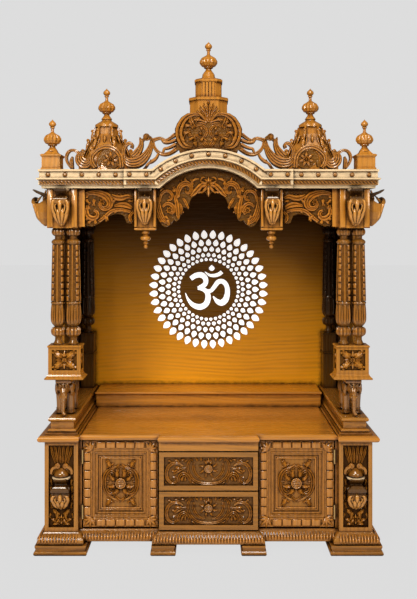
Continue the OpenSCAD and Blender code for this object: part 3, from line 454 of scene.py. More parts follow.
def teak(name, turn, light=1.0, carved=0.0, figure=1.0, depth=1.0, tint=None, overhead_shade=None, ground=None,
          coat=0.5, shine=0.5, inside=False, disc=None):
    """Varnished teak. turn is the rotation that lays the grain, carved the strength of the tool marks.

    overhead_shade is painted shade that darkens upwards from a height to a second one by a share, or, where it has a
    fourth value, only what stands in front of that place in mm. ground is how far back, in mm, the faces to the front
    are a carved ground darkened with painted shade, and how dark they are. inside keeps the painted shade to the faces
    that look at the shrine. disc is a round dark patch on the back panel: the height of its middle, its radius and how
    dark it is. Every teak also gets painted shade in its recesses and painted highlights on its high spots, from
    ambient occlusion.
    """
    look = bpy.context.scene.temple_finish
    pale, deep, gold = [tuple(min(v * light, 1) for v in c) for c in (tint or look.light, look.dark, look.gold)]
    if tint:
        deep = tuple(0.3 * a + 0.7 * b for a, b in zip(pale, deep))
        gold = tuple(min(1.15 * v, 1) for v in pale)
    mat = bpy.data.materials.new(name)
    mat.use_nodes = True
    n = Nodes(mat.node_tree)
    shader = mat.node_tree.nodes["Principled BSDF"]
    coords = n.add("TexCoord").outputs["Object"]
    turned = n.add("Mapping", {"Vector": coords, "Rotation": [math.radians(a) for a in turn]}).outputs[0]
    grain = n.add("Group", node_tree=bpy.data.node_groups["teak_grain"])
    n.tree.links.new(turned, grain.inputs["Vector"])
    grain.inputs["Light"].default_value = (*pale, 1)
    grain.inputs["Dark"].default_value = (*deep, 1)
    grain.inputs["Figure"].default_value = figure
    # Ambient occlusion drives the painted shade in the recesses and the painted highlights on the high spots.
    occlusion = n.add("AmbientOcclusion", {"Distance": look.reach}, samples=6)
    recess_shading = n.add("Group", node_tree=bpy.data.node_groups["occlusion_shade_and_highlight"])
    n.tree.links.new(grain.outputs["Color"], recess_shading.inputs["Color"])
    n.tree.links.new(occlusion.outputs["AO"], recess_shading.inputs["Open"])
    n.tree.links.new(coords, recess_shading.inputs["Vector"])
    recess_shading.inputs["Gold"].default_value = (*gold, 1)
    recess_shading.inputs["Recess"].default_value = (*look.recess, 1)
    recess_shading.inputs["Depth"].default_value = depth
    colour_out = recess_shading.outputs["Color"]
    # Painted shade under overhangs: the colour darkens upwards towards the recess colour.
    if overhead_shade:
        height = n.add("SeparateXYZ", {"Vector": coords}).outputs["Z"]
        shade = n.maths("MULTIPLY", n.ramp(height, overhead_shade[0], overhead_shade[1]), overhead_shade[2])
        if len(overhead_shade) > 3:
            across = n.add("SeparateXYZ", {"Vector": coords}).outputs["Y"]
            edge = FACE_Y + overhead_shade[3] * MM
            shade = n.maths("MULTIPLY", shade, n.maths("SUBTRACT", 1.0, n.ramp(across, edge - MM, edge)))
        # A round dark patch on the back panel behind the emblem.
        if disc:
            far = n.add("VectorMath", {0: coords, 1: (0, BACK_Y, disc[0])}, operation="DISTANCE").outputs["Value"]
            round_patch = n.maths("MULTIPLY", n.maths("SUBTRACT", 1.0, n.ramp(far, disc[1] * 0.9, disc[1])), disc[2])
            shade = n.maths("MAXIMUM", shade, round_patch)
        if inside:
            level = n.add("VectorMath", {0: coords, 1: (1, 1, 0)}, operation="MULTIPLY").outputs[0]
            normal = n.add("TexCoord").outputs["Normal"]
            towards = n.add("VectorMath", {0: level, 1: normal}, operation="DOT_PRODUCT").outputs["Value"]
            shade = n.maths("MULTIPLY", shade, n.maths("LESS_THAN", towards, 0.0))
        colour_out = n.mix(shade, colour_out, tuple(look.recess))
    # Painted shade on the carved ground behind the relief, on the faces that look to the front.
    if ground:
        back = n.add("SeparateXYZ", {"Vector": coords}).outputs["Y"]
        facing = n.add("SeparateXYZ", {"Vector": n.add("TexCoord").outputs["Normal"]}).outputs["Y"]
        behind = n.ramp(back, FACE_Y + (ground[0] - 0.6) * MM, FACE_Y + ground[0] * MM)
        front = n.ramp(n.maths("MULTIPLY", facing, -1.0), 0.7, 0.9)
        shade = n.maths("MULTIPLY", n.maths("MULTIPLY", behind, front), ground[1])
        colour_out = n.mix(shade, colour_out, tuple(look.recess))
    n.tree.links.new(colour_out, shader.inputs["Base Color"])
    rough = n.maths("ADD", n.maths("ADD", n.maths("MULTIPLY", recess_shading.outputs["Mask"], 0.3), look.gloss),
                    grain.outputs["Roughness"])
    bare = n.maths("SUBTRACT", 1.0, n.maths("MULTIPLY", recess_shading.outputs["Mask"], 0.85))
    n.tree.links.new(rough, shader.inputs["Roughness"])
    fibres = n.add("Bump", {"Height": grain.outputs["Height"], "Strength": 0.12, "Distance": 0.0006})
    normal = fibres.outputs[0]
    if carved:
        marks = n.add("Group", node_tree=bpy.data.node_groups["tool_marks"])
        n.tree.links.new(coords, marks.inputs["Vector"])
        cut = n.add("Bump", {"Height": marks.outputs[0], "Strength": carved, "Distance": 0.002, "Normal": normal})
        normal = cut.outputs[0]
    n.tree.links.new(normal, shader.inputs["Normal"])
    if ground:
        bare = n.maths("MULTIPLY", bare, n.maths("SUBTRACT", 1.0, shade))
    n.tree.links.new(n.maths("MULTIPLY", bare, shine), shader.inputs["Specular IOR Level"])
    n.tree.links.new(n.maths("MULTIPLY", bare, coat), shader.inputs["Coat Weight"])
    shader.inputs["Specular Tint"].default_value = (1.0, 0.86, 0.64, 1)
    shader.inputs["Coat Tint"].default_value = (1.0, 0.92, 0.78, 1)
    shader.inputs["Coat Roughness"].default_value = 0.12
    return mat


def plain(name, rgb, roughness, metallic=0.0, grain=0.15):
    """A fine-grained even material, such as brass or inlay."""
    mat = bpy.data.materials.new(name)
    mat.use_nodes = True
    n = Nodes(mat.node_tree)
    shader = mat.node_tree.nodes["Principled BSDF"]
    coords = n.add("TexCoord").outputs["Object"]
    cloud = n.add("TexNoise", {"Vector": coords, "Scale": 45.0, "Detail": 4.0}).outputs["Fac"]
    dull = tuple(v * 0.82 for v in rgb)
    n.tree.links.new(n.mix(n.maths("MULTIPLY", n.ramp(cloud, 0.35, 0.75), 0.7), rgb, dull), shader.inputs["Base Color"])
    n.tree.links.new(n.maths("ADD", n.maths("MULTIPLY", cloud, grain), roughness), shader.inputs["Roughness"])
    shader.inputs["Metallic"].default_value = metallic
    return mat


ALONG_X, ALONG_Y, ALONG_Z = (0, 0, 0), (0, 0, 90), (0, 90, 0)


def material(name):
    return bpy.data.materials[name]


def new_materials():
    look = bpy.context.scene.temple_finish
    grain_group()
    occlusion_shade_group()
    punch_group()
    for axis, turn in (("x", ALONG_X), ("y", ALONG_Y), ("z", ALONG_Z)):
        teak("teak_" + axis, turn)
        teak("gold_teak_" + axis, turn, light=1.2)
        teak("dark_teak_" + axis, turn, light=0.62)
        teak("carved_" + axis, turn, light=1.0, carved=0.5)
    # back_board: painted shade under the canopy on its inner faces, and a round dark patch behind the emblem.
    teak("back_board", ALONG_X, light=2.2, tint=(0.42, 0.162, 0.005), figure=1.0, overhead_shade=(0.48, 1.2, 0.96),
         coat=0.05, shine=0.22, inside=True, disc=(EMBLEM_Z, 0.243, 0.86))
    teak("shaded_z", ALONG_Z, light=0.22, overhead_shade=(0.45, 0.9, 0.85), coat=0.1)
    # side_board: painted shade that darkens upwards, on its inner faces only.
    teak("side_board", ALONG_Z, light=0.75, overhead_shade=(0.2, 0.6, 0.95), coat=0.1, shine=0.3, inside=True)
    # The boards with a ground value get painted shade on their carved grounds behind the relief.
    teak("valance_board", ALONG_X, light=0.9, carved=0.8, ground=(41.5, 0.74))
    teak("valance_carving", ALONG_X, light=1.25, carved=0.3, depth=0.95, coat=1.0, shine=1.0)
    teak("crest_board", ALONG_X, light=0.95, carved=0.8, ground=(-0.5, 0.66))
    teak("pier_post", ALONG_Z, light=0.85, ground=(7.6, 0.88))
    teak("box_wood", ALONG_Z, light=0.88, ground=(30.5, 0.66))
    teak("door_wood", ALONG_Z, light=1.0, ground=(36.6, 0.3))
    teak("drawer_wood", ALONG_X, light=0.68, ground=(6.6, 0.5))
    teak("panel_carving_z", ALONG_Z, light=0.95, carved=0.15, coat=1.0, shine=0.9)
    teak("panel_carving_x", ALONG_X, light=0.9, carved=0.15, coat=1.0, shine=0.9)
    teak("cornice_frieze_x", ALONG_X, light=0.7)
    teak("frieze_ground_x", ALONG_X, light=0.2)
    teak("door_gold", ALONG_Z, light=1.0, coat=0.9)
    teak("capital_wood", ALONG_Z, light=1.05)
    teak("platform_wood", ALONG_X, light=1.1, coat=1.0, shine=0.7)
    teak("sill_wood", ALONG_Y, light=0.8)
    teak("base_wood", ALONG_X, light=0.74, carved=0.3)
    teak("base_carving", ALONG_X, light=1.15, carved=0.1, coat=1.0, shine=0.9)
    teak("column_wood", ALONG_Z, light=0.48, carved=0.2)
    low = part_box("capital_corbels")[1].z
    # Painted shade on the bud necks under the lips; on the pendants only in front.
    teak("bud_wood", ALONG_Z, light=0.85, overhead_shade=(low - 0.056, low - 0.034, 0.9))
    teak("pendant_wood", ALONG_Z, light=1.0, overhead_shade=(low - 0.056, low - 0.034, 0.9, 17))
    teak("pier_bud_wood", ALONG_Z, light=0.9, overhead_shade=(0.204, 0.216, 0.78))
    teak("bell_gloss", ALONG_Z, light=0.5, coat=1.0)
    teak("cream_x", ALONG_X, tint=look.cream, figure=0.5)
    teak("cream_y", ALONG_Y, tint=look.cream, figure=0.5)
    # The bud petals are a lighter, creamier teak: painted highlight.
    teak("petal_highlight_teak", ALONG_Z, tint=(0.6, 0.27, 0.05), figure=0.8, carved=0.1, coat=1.0)
    teak("column_carving", ALONG_Z, light=0.85, carved=0.15, coat=1.0, shine=0.9)
    teak("elephant_teak", ALONG_Z, light=0.66, carved=0.3, coat=1.0, shine=0.9)
    teak("crest_carving", ALONG_X, light=0.92, carved=0.2, coat=1.0, shine=1.0)
    lit = plain("white_inlay", look.inlay, 0.3)
    lit.node_tree.nodes["Principled BSDF"].inputs["Emission Color"].default_value = (*look.inlay, 1)
    lit.node_tree.nodes["Principled BSDF"].inputs["Emission Strength"].default_value = 0.75
    plain("hinge_brass", look.brass, 0.28, 1.0)


NODE_FINISH = {
    "feet": "base_wood", "base_moulding": "base_wood", "cabinet_floor": "teak_x", "pier_left": "pier_post",
    "pier_right": "pier_post", "pier_corbels": "pier_bud_wood", "cabinet_side_left": "teak_y",
    "cabinet_side_right": "teak_y", "cabinet_back": "teak_x", "partitions": "teak_y", "drawer_rail": "teak_x",
    "drawer_runners": "teak_y", "door_stiles": "teak_z", "door_left": "door_wood", "door_right": "door_wood",
    "door_hinges": "hinge_brass", "door_left_leaves": "hinge_brass", "door_right_leaves": "hinge_brass",
    "drawer_upper": "drawer_wood", "drawer_lower": "drawer_wood", "platform_board": "platform_wood",
    "sill_left": "sill_wood", "sill_right": "sill_wood", "back_step": "platform_wood", "elephants": "dark_teak_z",
    "column_boxes": "box_wood", "front_columns_left": "column_wood", "front_columns_right": "column_wood",
    "rear_columns": "shaded_z", "capital_blocks": "capital_wood", "capital_corbels": "bud_wood",
    "side_panels": "side_board", "back_panel": "back_board", "emblem_petals": "white_inlay",
    "om_sign": "white_inlay", "side_valances": "valance_board", "arch_valance": "valance_board", "pendants": "pendant_wood",
    "cornice_left": "cream_x", "cornice_right": "cream_x", "cornice_centre": "cream_x",
    "cornice_sides": "cream_y", "roof_deck": "teak_x", "crest_left": "crest_board", "crest_right": "crest_board",
    "crest_centre": "crest_board", "domes": "teak_z", "tower": "teak_z", "corner_finials": "teak_z",
}


class TEMPLE_OT_finishes(bpy.types.Operator):
    """Gives every solid its varnished wood, inlay or brass"""

    bl_idname = "temple.finishes"
    bl_label = "Finishes"

    def execute(self, context):
        new_materials()
        for node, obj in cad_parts.items():
            slots = obj.material_slots
            if not slots:
                obj.data.materials.append(material(NODE_FINISH[node]))
            for s in slots:
                s.material = material(NODE_FINISH[node])
        return {"FINISHED"}


# ---- cornice


def arch_frames(radius, pitch, half_angle):
    """Angles, in degrees from upright, of evenly spaced copies along the arch."""
    step = math.degrees(pitch / radius)
    count = int(2 * half_angle / step)
    return [(i - (count - 1) / 2) * step for i in range(count)]


ARCH_R = 247
ARCH_Z = 1122
ARCH_HALF = 44
BREAK_X = 300
CORNER_X = 579
SILL_X = 524
SILL_TOP = 477
BOX_LOW = 631
BOX_TOP = 733
COLUMN_X = 518
PENDANT_X = 227
PIER_BUD_Z = 270
PIER_BUD_H = 113
DECK_Y = 324.5


def along_cornice(obj, pitch, height, out, centre_out, start=0.5):
    """Places copies of obj, drawn about the origin facing the front, along the whole cornice."""
    p = pitch / MM
    matrices = []
    for side in (-1, 1):
        x = BREAK_X + p * start
        while x < CORNER_X + out - 4:
            matrices.append(Matrix.Translation(place(side * x, 20 - out, CORNICE_LOW / MM + height)))
            x += p
        x = 190 + p * start
        while x < BREAK_X - p * 0.3:
            matrices.append(Matrix.Translation(place(side * x, 20 - out - centre_out, CORNICE_LOW / MM + height)))
            x += p
        y = 20 + p * start
        while y < 566 - p * 0.4:
            turn = Matrix.Rotation(math.radians(90 * side), 4, "Z")
            matrices.append(
                Matrix.Translation(place(side * (CORNER_X + out), y, CORNICE_LOW / MM + height)) @ turn
            )
            y += p
    radius = ARCH_R + height
    for a in arch_frames(radius * MM, pitch, 43):
        s = math.radians(a)
        spot = place(radius * math.sin(s), 20 - out - centre_out, ARCH_Z + radius * math.cos(s))
        matrices.append(Matrix.Translation(spot) @ Matrix.Rotation(s, 4, "Y"))
    return copies(obj, matrices)


class TEMPLE_OT_cornice(bpy.types.Operator):
    """Adds the buttons and the leaf band of the cornice"""

    bl_idname = "temple.cornice"
    bl_label = "Cornice carving"

    def execute(self, context):
        sizes = context.scene.temple_sizes
        button = ball(0, 0, 0, 8.2, (1, 0.55, 1), 3)
        button.data.transform(Matrix.Translation((0, -FACE_Y, 0)))
        finish(along_cornice(button, sizes.button_pitch, 47.5, 23.5, 10), "cornice_buttons", material("dark_teak_x"))
        twist = [[(-7, 8, 1.2), (-3.5, 4, 3.2), (3.5, -4, 3.2), (7, -8, 1.2)], [(-6, -4, 0.8), (-2, -7, 2), (2, -8, 0.8)],
                 [(6, 4, 0.8), (2, 7, 2), (-2, 8, 0.8)]]
        band = along_cornice(relief(twist, 0.9, 1, 3), sizes.leaf_pitch, 20, 25.4, 10)
        finish(band, "cornice_leaves", material("cornice_frieze_x"))
        half = sizes.leaf_pitch / MM / 2 + 0.4
        for name, low, high, out in (("frieze_ground", -8.3, 8.3, 25.5), ("frieze_line", 15.6, 17.8, 23.6),
                                     ("fascia_line", 37.2, 39.4, 26.6)):
            strip = block(-half, half, -0.3, 2.5, low, high, 0.25, 1)
            strip.data.transform(Matrix.Translation((0, -FACE_Y, 0)))
            finish(along_cornice(strip, sizes.leaf_pitch, 20, out, 10), name, material("frieze_ground_x"))
        return {"FINISHED"}


# ---- crest


CREST_SIDE = (
    (2, ((489, 6, 7), (503, 24, 7), (507, 45, 8), (498, 64, 8), (483, 68, 8), (468, 62, 9), (460, 52, 9))),
    (2, ((485, 4, 5), (489, 27, 12), (485, 44, 4))),
    (4, ((449, 64, 6), (459, 46, 24), (454, 28, 33), (438, 20, 33), (425, 28, 20), (418, 46, 8))),
    (2, ((403, 6, 14), (414, 24, 12), (416, 44, 12), (404, 62, 13), (384, 76, 14), (362, 80, 15), (337, 73, 15),
         (319, 56, 15), (311, 32, 15), (309, 6, 15))),
    (4, ((201, 98, 14), (208, 76, 18), (221, 52, 26), (243, 31, 33), (268, 23, 35), (289, 28, 27), (301, 42, 11))),
    (3, ((245, 110, 5), (240, 100, 12), (242, 82, 16), (253, 61, 24), (270, 44, 22))),
    (2, ((302, 38, 12), (304, 60, 11), (297, 81, 10), (283, 92, 10), (272, 87, 8), (273, 77, 5))),
    (2, ((199, 102, 13), (195, 85, 10), (185, 68, 10), (166, 56, 10), (145, 56, 10), (128, 64, 11), (116, 74, 12))),
    (2, ((200, 103, 12), (185, 108, 10), (170, 110, 9), (152, 104, 9), (138, 111, 9), (120, 124, 12))),
    (1, ((166, 106, 7), (159, 98, 8), (146, 96, 9), (130, 100, 9), (118, 106, 9))),
    (1, ((162, 60, 7), (157, 73, 8), (146, 76, 8), (131, 82, 9), (117, 91, 9))),
    (1, ((179, 55, 7), (187, 41, 8), (200, 30, 10), (212, 23, 7), (222, 12, 8))),
)


CREST_MIDDLE = (
    (2, ((60, 77, 9), (84, 82, 17), (100, 104, 22), (105, 132, 23), (97, 160, 22), (81, 182, 18), (59, 194, 13),
         (37, 195, 10), (20, 186, 9), (5, 170, 8))),
    (2, ((66, 188, 9), (63, 176, 12), (59, 164, 14), (54, 156, 11))),
    (1, ((6, 166, 5), (26, 174, 7), (46, 176, 7), (57, 172, 3))),
    (1, ((8, 160, 4), (24, 165, 6), (40, 166, 3))),
    (2, ((72, 146, 6), (71, 128, 9), (62, 116, 9), (50, 115, 8), (42, 122, 6))),
    (2, ((44, 154, 8), (32, 158, 9), (17, 152, 9), (7, 138, 9), (9, 122, 9), (22, 113, 9), (36, 115, 8), (41, 125, 6))),
    (1, ((48, 96, 16), (45, 86, 9), (43, 79, 5))),
    (3, ((2, 74, 8), (14, 92, 15), (28, 108, 6))),
    (1, ((4, 100, 4), (12, 104, 6), (18, 112, 3))),
    (2, ((3, 168, 6), (9, 205, 13), (19, 230, 6))),
    (2, ((6, 170, 6), (18, 198, 12), (33, 219, 5))),
    (1, ((10, 172, 5), (26, 192, 9), (42, 206, 4))),
)


def fluted(bands, grow=1.0):
    """The ridges of many bands of (count, points), with the bands made grow times as wide."""
    out = []
    for count, points in bands:
        out += flutes([(x, z, w * grow) for x, z, w in points], count)
    return out


class TEMPLE_OT_crest(bpy.types.Operator):
    """Rounds and flutes the leaves and scrolls of the open-work crest"""

    bl_idname = "temple.crest"
    bl_label = "Crest carving"

    def execute(self, context):
        side = fluted(CREST_SIDE, 1.1)
        side += rosette(348, 35, 7, 30, 12, 7, 90) + rosette(348, 35, 4, 17, 8, 7, 64)
        side += [knob(348, 35, 7), knob(223, 114, 11), knob(277, 80, 5), knob(197, 102, 7), knob(206, 30, 6)]
        side += [spiral(222, 114, 11, 5, 200, 520, 3, 2)]
        for x, z, a in ((326, 12, 150), (371, 14, 30), (440, 6, 120), (414, 8, 60), (300, 8, 60), (331, 70, 200)):
            side.append(leaf(x, z, a, 17, 7, 20))
        middle = fluted(CREST_MIDDLE, 1.15)
        middle += [knob(28, 127, 9), knob(50, 153, 9), knob(48, 100, 9)]
        for x, z, a, length, width, curl in ((86, 92, 60, 30, 13, 40), (92, 124, 150, 30, 13, 30), (88, 158, 200, 30, 13, -30),
                                             (72, 176, 240, 24, 11, -30), (30, 186, 300, 24, 11, 30), (26, 96, 100, 26, 11, 30),
                                             (70, 100, 130, 28, 12, 40), (60, 142, 120, 22, 10, 40), (20, 140, 40, 18, 9, 30)):
            middle += frond(x, z, a, length, width, 2, curl)
        middle = mirrored(middle) + flutes(((0, 168, 8), (0, 205, 15), (0, 238, 12)), 2) + [knob(0, 238, 10)]
        obj = joined([relief(mirrored(side), 1.55, 2, 4), relief(middle, 2.1, 2, 4)])
        finish(set_on(obj, 0, 2.0, CORNICE_TOP / MM), "crest_relief", material("crest_carving"))
        return {"FINISHED"}


# ---- valances


SIDE_BANDS = (
    (3, ((452, -22, 10), (420, -14, 14), (388, -17, 20), (362, -34, 22), (356, -58, 18), (372, -72, 14),
         (390, -64, 11), (392, -50, 9))),
    (2, ((436, -60, 9), (440, -88, 14), (424, -106, 15), (404, -102, 12), (402, -86, 10), (414, -78, 7))),
    (2, ((396, -118, 8), (372, -100, 10), (352, -82, 10), (326, -76, 10), (300, -78, 9), (282, -84, 8))),
    (2, ((350, -24, 7), (334, -32, 15), (312, -34, 15), (290, -28, 12), (272, -34, 6))),
    (2, ((340, -62, 6), (318, -58, 14), (296, -60, 16), (276, -70, 9))),
    (2, ((270, -84, 8), (282, -98, 10), (280, -114, 10), (274, -120, 7))),
)


ARCH_BANDS = (
    (3, ((184, -30, 8), (181, -64, 15), (172, -96, 17), (156, -118, 12), (140, -124, 6))),
    (2, ((186, -74, 6), (180, -102, 11), (170, -120, 7))),
    (2, ((176, -46, 6), (170, -20, 9), (152, -8, 9), (134, -16, 9), (134, -36, 8), (148, -44, 6))),
    (2, ((166, -66, 6), (150, -54, 10), (132, -60, 11), (124, -78, 10), (134, -92, 7))),
    (2, ((122, -24, 6), (116, -48, 11), (112, -76, 13), (110, -98, 9), (108, -111, 3))),
    (2, ((106, -50, 5), (98, -70, 8), (100, -92, 4))),
    (3, ((112, -34, 8), (108, -4, 15), (90, 18, 17), (68, 14, 14), (62, -4, 11), (74, -16, 8), (84, -8, 5))),
    (2, ((92, -34, 6), (82, -50, 8), (76, -64, 5))),
    (2, ((64, -28, 6), (48, -12, 14), (30, 8, 15), (14, 20, 8))),
    (1, ((60, 24, 4), (48, 34, 7), (34, 36, 4))),
    (1, ((118, 2, 4), (124, -8, 8), (130, -4, 3))),
    (1, ((28, 30, 3), (22, 40, 6), (12, 40, 3))),
)


class TEMPLE_OT_valances(bpy.types.Operator):
    """Carves scrolls and leaves on the valances under the cornice"""

    bl_idname = "temple.valances"
    bl_label = "Valance carving"

    def execute(self, context):
        side = fluted(SIDE_BANDS, 1.3)
        side += rosette(384, -48, 3, 13, 7, 6) + [knob(384, -48, 5), knob(412, -92, 5), knob(276, -121, 7)]
        side += [knob(x, -22, 4) for x in (330, 316, 302)]
        for x, z, a, length, width, curl in (
            (448, -40, 200, 26, 10, 30), (450, -72, 190, 24, 9, -30), (446, -112, 150, 26, 11, 40),
            (436, -126, 130, 22, 9, 20), (410, -128, 100, 24, 10, -20), (380, -96, 210, 24, 10, 40),
            (352, -50, 160, 26, 10, -30), (340, -88, 120, 22, 9, 30), (416, -36, 250, 26, 10, 30),
            (372, -26, 300, 20, 8, 20), (434, -26, 330, 18, 8, -20), (306, -84, 150, 20, 8, 30),
            (292, -46, 170, 20, 8, 20), (364, -112, 60, 20, 8, 20), (398, -30, 100, 14, 7, 0),
        ):
            side += frond(x, z, a, length, width, 2, curl)
        arch = fluted(ARCH_BANDS, 1.25)
        arch += rosette(141, -78, 3, 14, 8, 7) + [knob(141, -78, 5), knob(141, -30, 6), knob(74, -68, 7), knob(84, 0, 6)]
        arch += [knob(121, -88, 4), knob(98, 30, 5), knob(92, -84, 5)]
        for x, z, a, length, width, curl in (
            (176, -10, 120, 18, 8, 20), (160, -100, 200, 22, 9, 30), (124, -58, 250, 24, 10, -20),
            (104, -20, 300, 22, 9, 20), (120, -12, 60, 20, 8, 20), (80, 26, 60, 16, 8, 20),
            (52, 0, 250, 22, 9, 30), (40, -10, 200, 18, 8, -20), (96, 4, 120, 16, 7, 20), (58, 12, 90, 22, 9, -20),
            (150, -110, 240, 22, 9, 20), (178, -86, 240, 20, 8, 20),
        ):
            arch += frond(x, z, a, length, width, 2, curl)
        arch = mirrored(arch) + fan(0, 16, -90, 44, 13, 7, 200) + fan(0, 20, 90, 24, 10, 5, 150) + [knob(0, 12, 9)]
        level = CORNICE_LOW / MM
        obj = relief(mirrored(side) + arch, 1.7, 1, 3)
        finish(set_on(obj, 0, 41, level), "valance_relief", material("valance_carving"))
        return {"FINISHED"}


# ---- buds under the cornice and on the piers


def bud_strokes(w, h, out):
    """A hanging lotus bud as strokes of ((across, forward, up), radius)."""
    shares = []
    for k in (-1.5, -0.5, 0.5, 1.5):
        c = 1 - 0.06 * k * k
        shares.append([(0.22 * k, 0.7 * c, -0.5, 0.05), (0.24 * k, 0.82 * c, -0.6, 0.115),
                       (0.2 * k, 0.76 * c, -0.75, 0.115), (0.1 * k, 0.46, -0.92, 0.06)])
    for s in (-1, 1):
        shares.append([(s * 0.16, 0.7, -0.74, 0.03), (s * 0.34, 0.8, -0.66, 0.08), (s * 0.425, 0.86, -0.54, 0.09),
                       (s * 0.42, 0.93, -0.44, 0.1), (s * 0.38, 0.97, -0.35, 0.08), (s * 0.28, 0.98, -0.31, 0.035)])
        shares.append([(s * 0.05, 0.78, -0.7, 0.02), (s * 0.2, 0.84, -0.62, 0.05), (s * 0.27, 0.9, -0.53, 0.05),
                       (s * 0.28, 0.94, -0.46, 0.05), (s * 0.22, 0.98, -0.42, 0.02)])
        shares.append([(s * 0.3, 0.16, -0.04, 0.05), (s * 0.25, 0.28, -0.16, 0.06), (s * 0.3, 0.3, -0.3, 0.05),
                       (s * 0.37, 0.3, -0.44, 0.03)])
    shares.append([(0, 0.5, -0.17, 0.02), (0, 0.68, -0.25, 0.07), (0, 0.9, -0.35, 0.125), (0, 0.96, -0.46, 0.12),
                   (0, 0.93, -0.57, 0.08), (0, 0.88, -0.64, 0.02)])
    shares.append([(0, 0.36, -0.9, 0.05), (0, 0.34, -0.96, 0.075), (0, 0.28, -0.99, 0.04)])
    return [[((x * w, y * out, z * h), r * w) for x, y, z, r in share] for share in shares]


def bud(x, y, z, w, h, out, turn=0):
    """A bud on a wall at x, y with its top at z, turned about the upright axis by turn degrees."""
    strokes = [[(Vector((a, -b, c)) * MM, r * MM) for (a, b, c), r in s] for s in bud_strokes(w, h, out)]
    obj = carve(strokes, 2, 4)
    obj.data.transform(Matrix.Translation(place(x, y, z)) @ Matrix.Rotation(math.radians(turn), 4, "Z"))
    return obj


class TEMPLE_OT_buds(bpy.types.Operator):
    """Adds petals and leaves to the hanging buds, and strips beside them"""

    bl_idname = "temple.buds"
    bl_label = "Buds"

    def execute(self, context):
        top = CORNICE_LOW / MM
        pieces = []
        for s in (-1, 1):
            pieces.append(bud(s * SILL_X, 20, top, 62, 135, 47))
            pieces.append(bud(s * PENDANT_X, 20, top, 56, 130, 42))
            pieces.append(bud(s * CORNER_X, 65, top, 60, 135, 54, 90 * s))
            pieces.append(bud(s * SILL_X, 8, PIER_BUD_Z - 35, 64, 0.7 * PIER_BUD_H, 33))
        finish(joined(pieces), "bud_petals", material("petal_highlight_teak"), smooth=60)
        lips = []
        for x, y, z, r in ((SILL_X, 20, top, 29), (PENDANT_X, 20, top, 27), (SILL_X, 8, PIER_BUD_Z, 34)):
            for s in (-1, 1):
                rim = ((-12, r - 11), (-9, r - 5), (-5, r - 1), (-1.5, r), (0.5, r - 2.5))
                lips.append(carve([[(place(s * x, y, z + up), wide * MM) for up, wide in rim]], 6, 2))
        finish(joined(lips), "bud_lips", material("cream_x"), smooth=60)
        bells = []
        for s in (-1, 1):
            side = ((0, 25), (5, 27), (13, 25), (21, 18), (27, 9), (30, 5))
            bells.append(carve([[(place(s * SILL_X, 9, PIER_BUD_Z + up), wide * MM) for up, wide in side]], 6, 3))
        finish(joined(bells), "pier_bells", material("bell_gloss"), smooth=60)
        strips = []
        for s in (-1, 1):
            for x0, x1 in ((471, 491), (557, 577.5)):
                strips.append(block(s * x0, s * x1, 15, 20.2, top - 139, top - 1, 2))
            for x0, x1 in ((188.5, 198), (256, 265.5)):
                strips.append(block(s * x0, s * x1, 14, 20.2, top - 138, top - 1, 2))
        finish(joined(strips), "capital_strips", material("capital_wood"))
        return {"FINISHED"}


# ---- columns and their boxes


def around(stroke, count, start=0.0):
    """Copies of a 3-D stroke of ((radial, along, up), radius) round the upright axis."""
    out = []
    for i in range(count):
        a = math.radians(start + 360 * i / count)
        c, n = math.cos(a), math.sin(a)
        out.append([(Vector((r * c - t * n, r * n + t * c, z)) * MM, w * MM) for (r, t, z), w in stroke])
    return out


def column_detail(h):
    """Ridges, bead chains, leaves and gadroons of one turned column with its foot at the origin."""
    end = h - 58
    ridge = [((25, 0, 157), 2.6), ((22.8, 0, (157 + end) / 2), 2.6), ((20.6, 0, end - 2), 2.4)]
    lines = around(ridge, 4)
    lines += around([((17, 0, 70), 1.5), ((24, 0, 82), 2.8), ((25.6, 0, 96), 3), ((24.6, 0, 130), 2.8), ((23.6, 0, 146), 2)], 8)
    lines += around([((22, 0, 78), 1), ((23.6, 0, 92), 3.4), ((23.4, 0, 112), 2.8), ((22.2, 0, 140), 0.8)], 8, 22.5)
    lines += around([((17, 0, 33), 2.2), ((21.5, 0, 39), 4.4), ((22.5, 0, 47), 5), ((21.5, 0, 56), 4.4), ((17, 0, 62), 2.2)], 12)
    lines += around([((19.5, 0, h - 25), 1.5), ((21.5, 0, h - 17), 3.6), ((21.2, 0, h - 8), 3.4), ((19.8, 0, h - 3), 1.6)], 12)
    lines += around([((24.6, -2.4, 151.5), 1.6), ((25, 0, 151.5), 3), ((24.6, 2.4, 151.5), 1.6)], 16)
    lines += around([((22.8, -2, end + 7.5), 1.4), ((23.2, 0, end + 7.5), 2.7), ((22.8, 2, end + 7.5), 1.4)], 14)
    parts = [carve(lines, 1, 3)]
    count = 9
    pitch = (end - 156) / count
    links = []
    for i in range(count):
        z = 156 + pitch * (i + 0.5)
        r = 26.6 - 4.4 * (i + 0.5) / count
        for a in (45, 135, 225, 315):
            links.append((z, r, a, 1 - 0.16 * i / count))
    link = block(-6.2, 6.2, -3, 3, -pitch / 2 + 2.4, pitch / 2 - 2.4, 2.6, 2)
    link.data.transform(Matrix.Translation((0, -FACE_Y, 0)))
    matrices = [
        Matrix.Rotation(math.radians(a + 90), 4, "Z") @ Matrix.Translation((0, -(r - 1.6) * MM, z * MM)) @ Matrix.Diagonal((k, 1, 1, 1))
        for z, r, a, k in links
    ]
    parts.append(copies(link, matrices))
    return joined(parts)


class TEMPLE_OT_columns(bpy.types.Operator):
    """Adds ridges, bead chains and gadroons to the turned columns"""

    bl_idname = "temple.columns"
    bl_label = "Columns"

    def execute(self, context):
        spots = [Matrix.Translation(place(s * COLUMN_X + p, 56, BOX_TOP)) for s in (-1, 1) for p in (-27, 27)]
        finish(copies(column_detail(422), spots), "column_carving", material("column_carving"), smooth=50)
        rear = [Matrix.Translation(place(s * (COLUMN_X - 3), 533, BOX_TOP - 22)) for s in (-1, 1)]
        finish(copies(column_detail(444), rear), "rear_column_carving", material("shaded_z"), smooth=50)
        return {"FINISHED"}


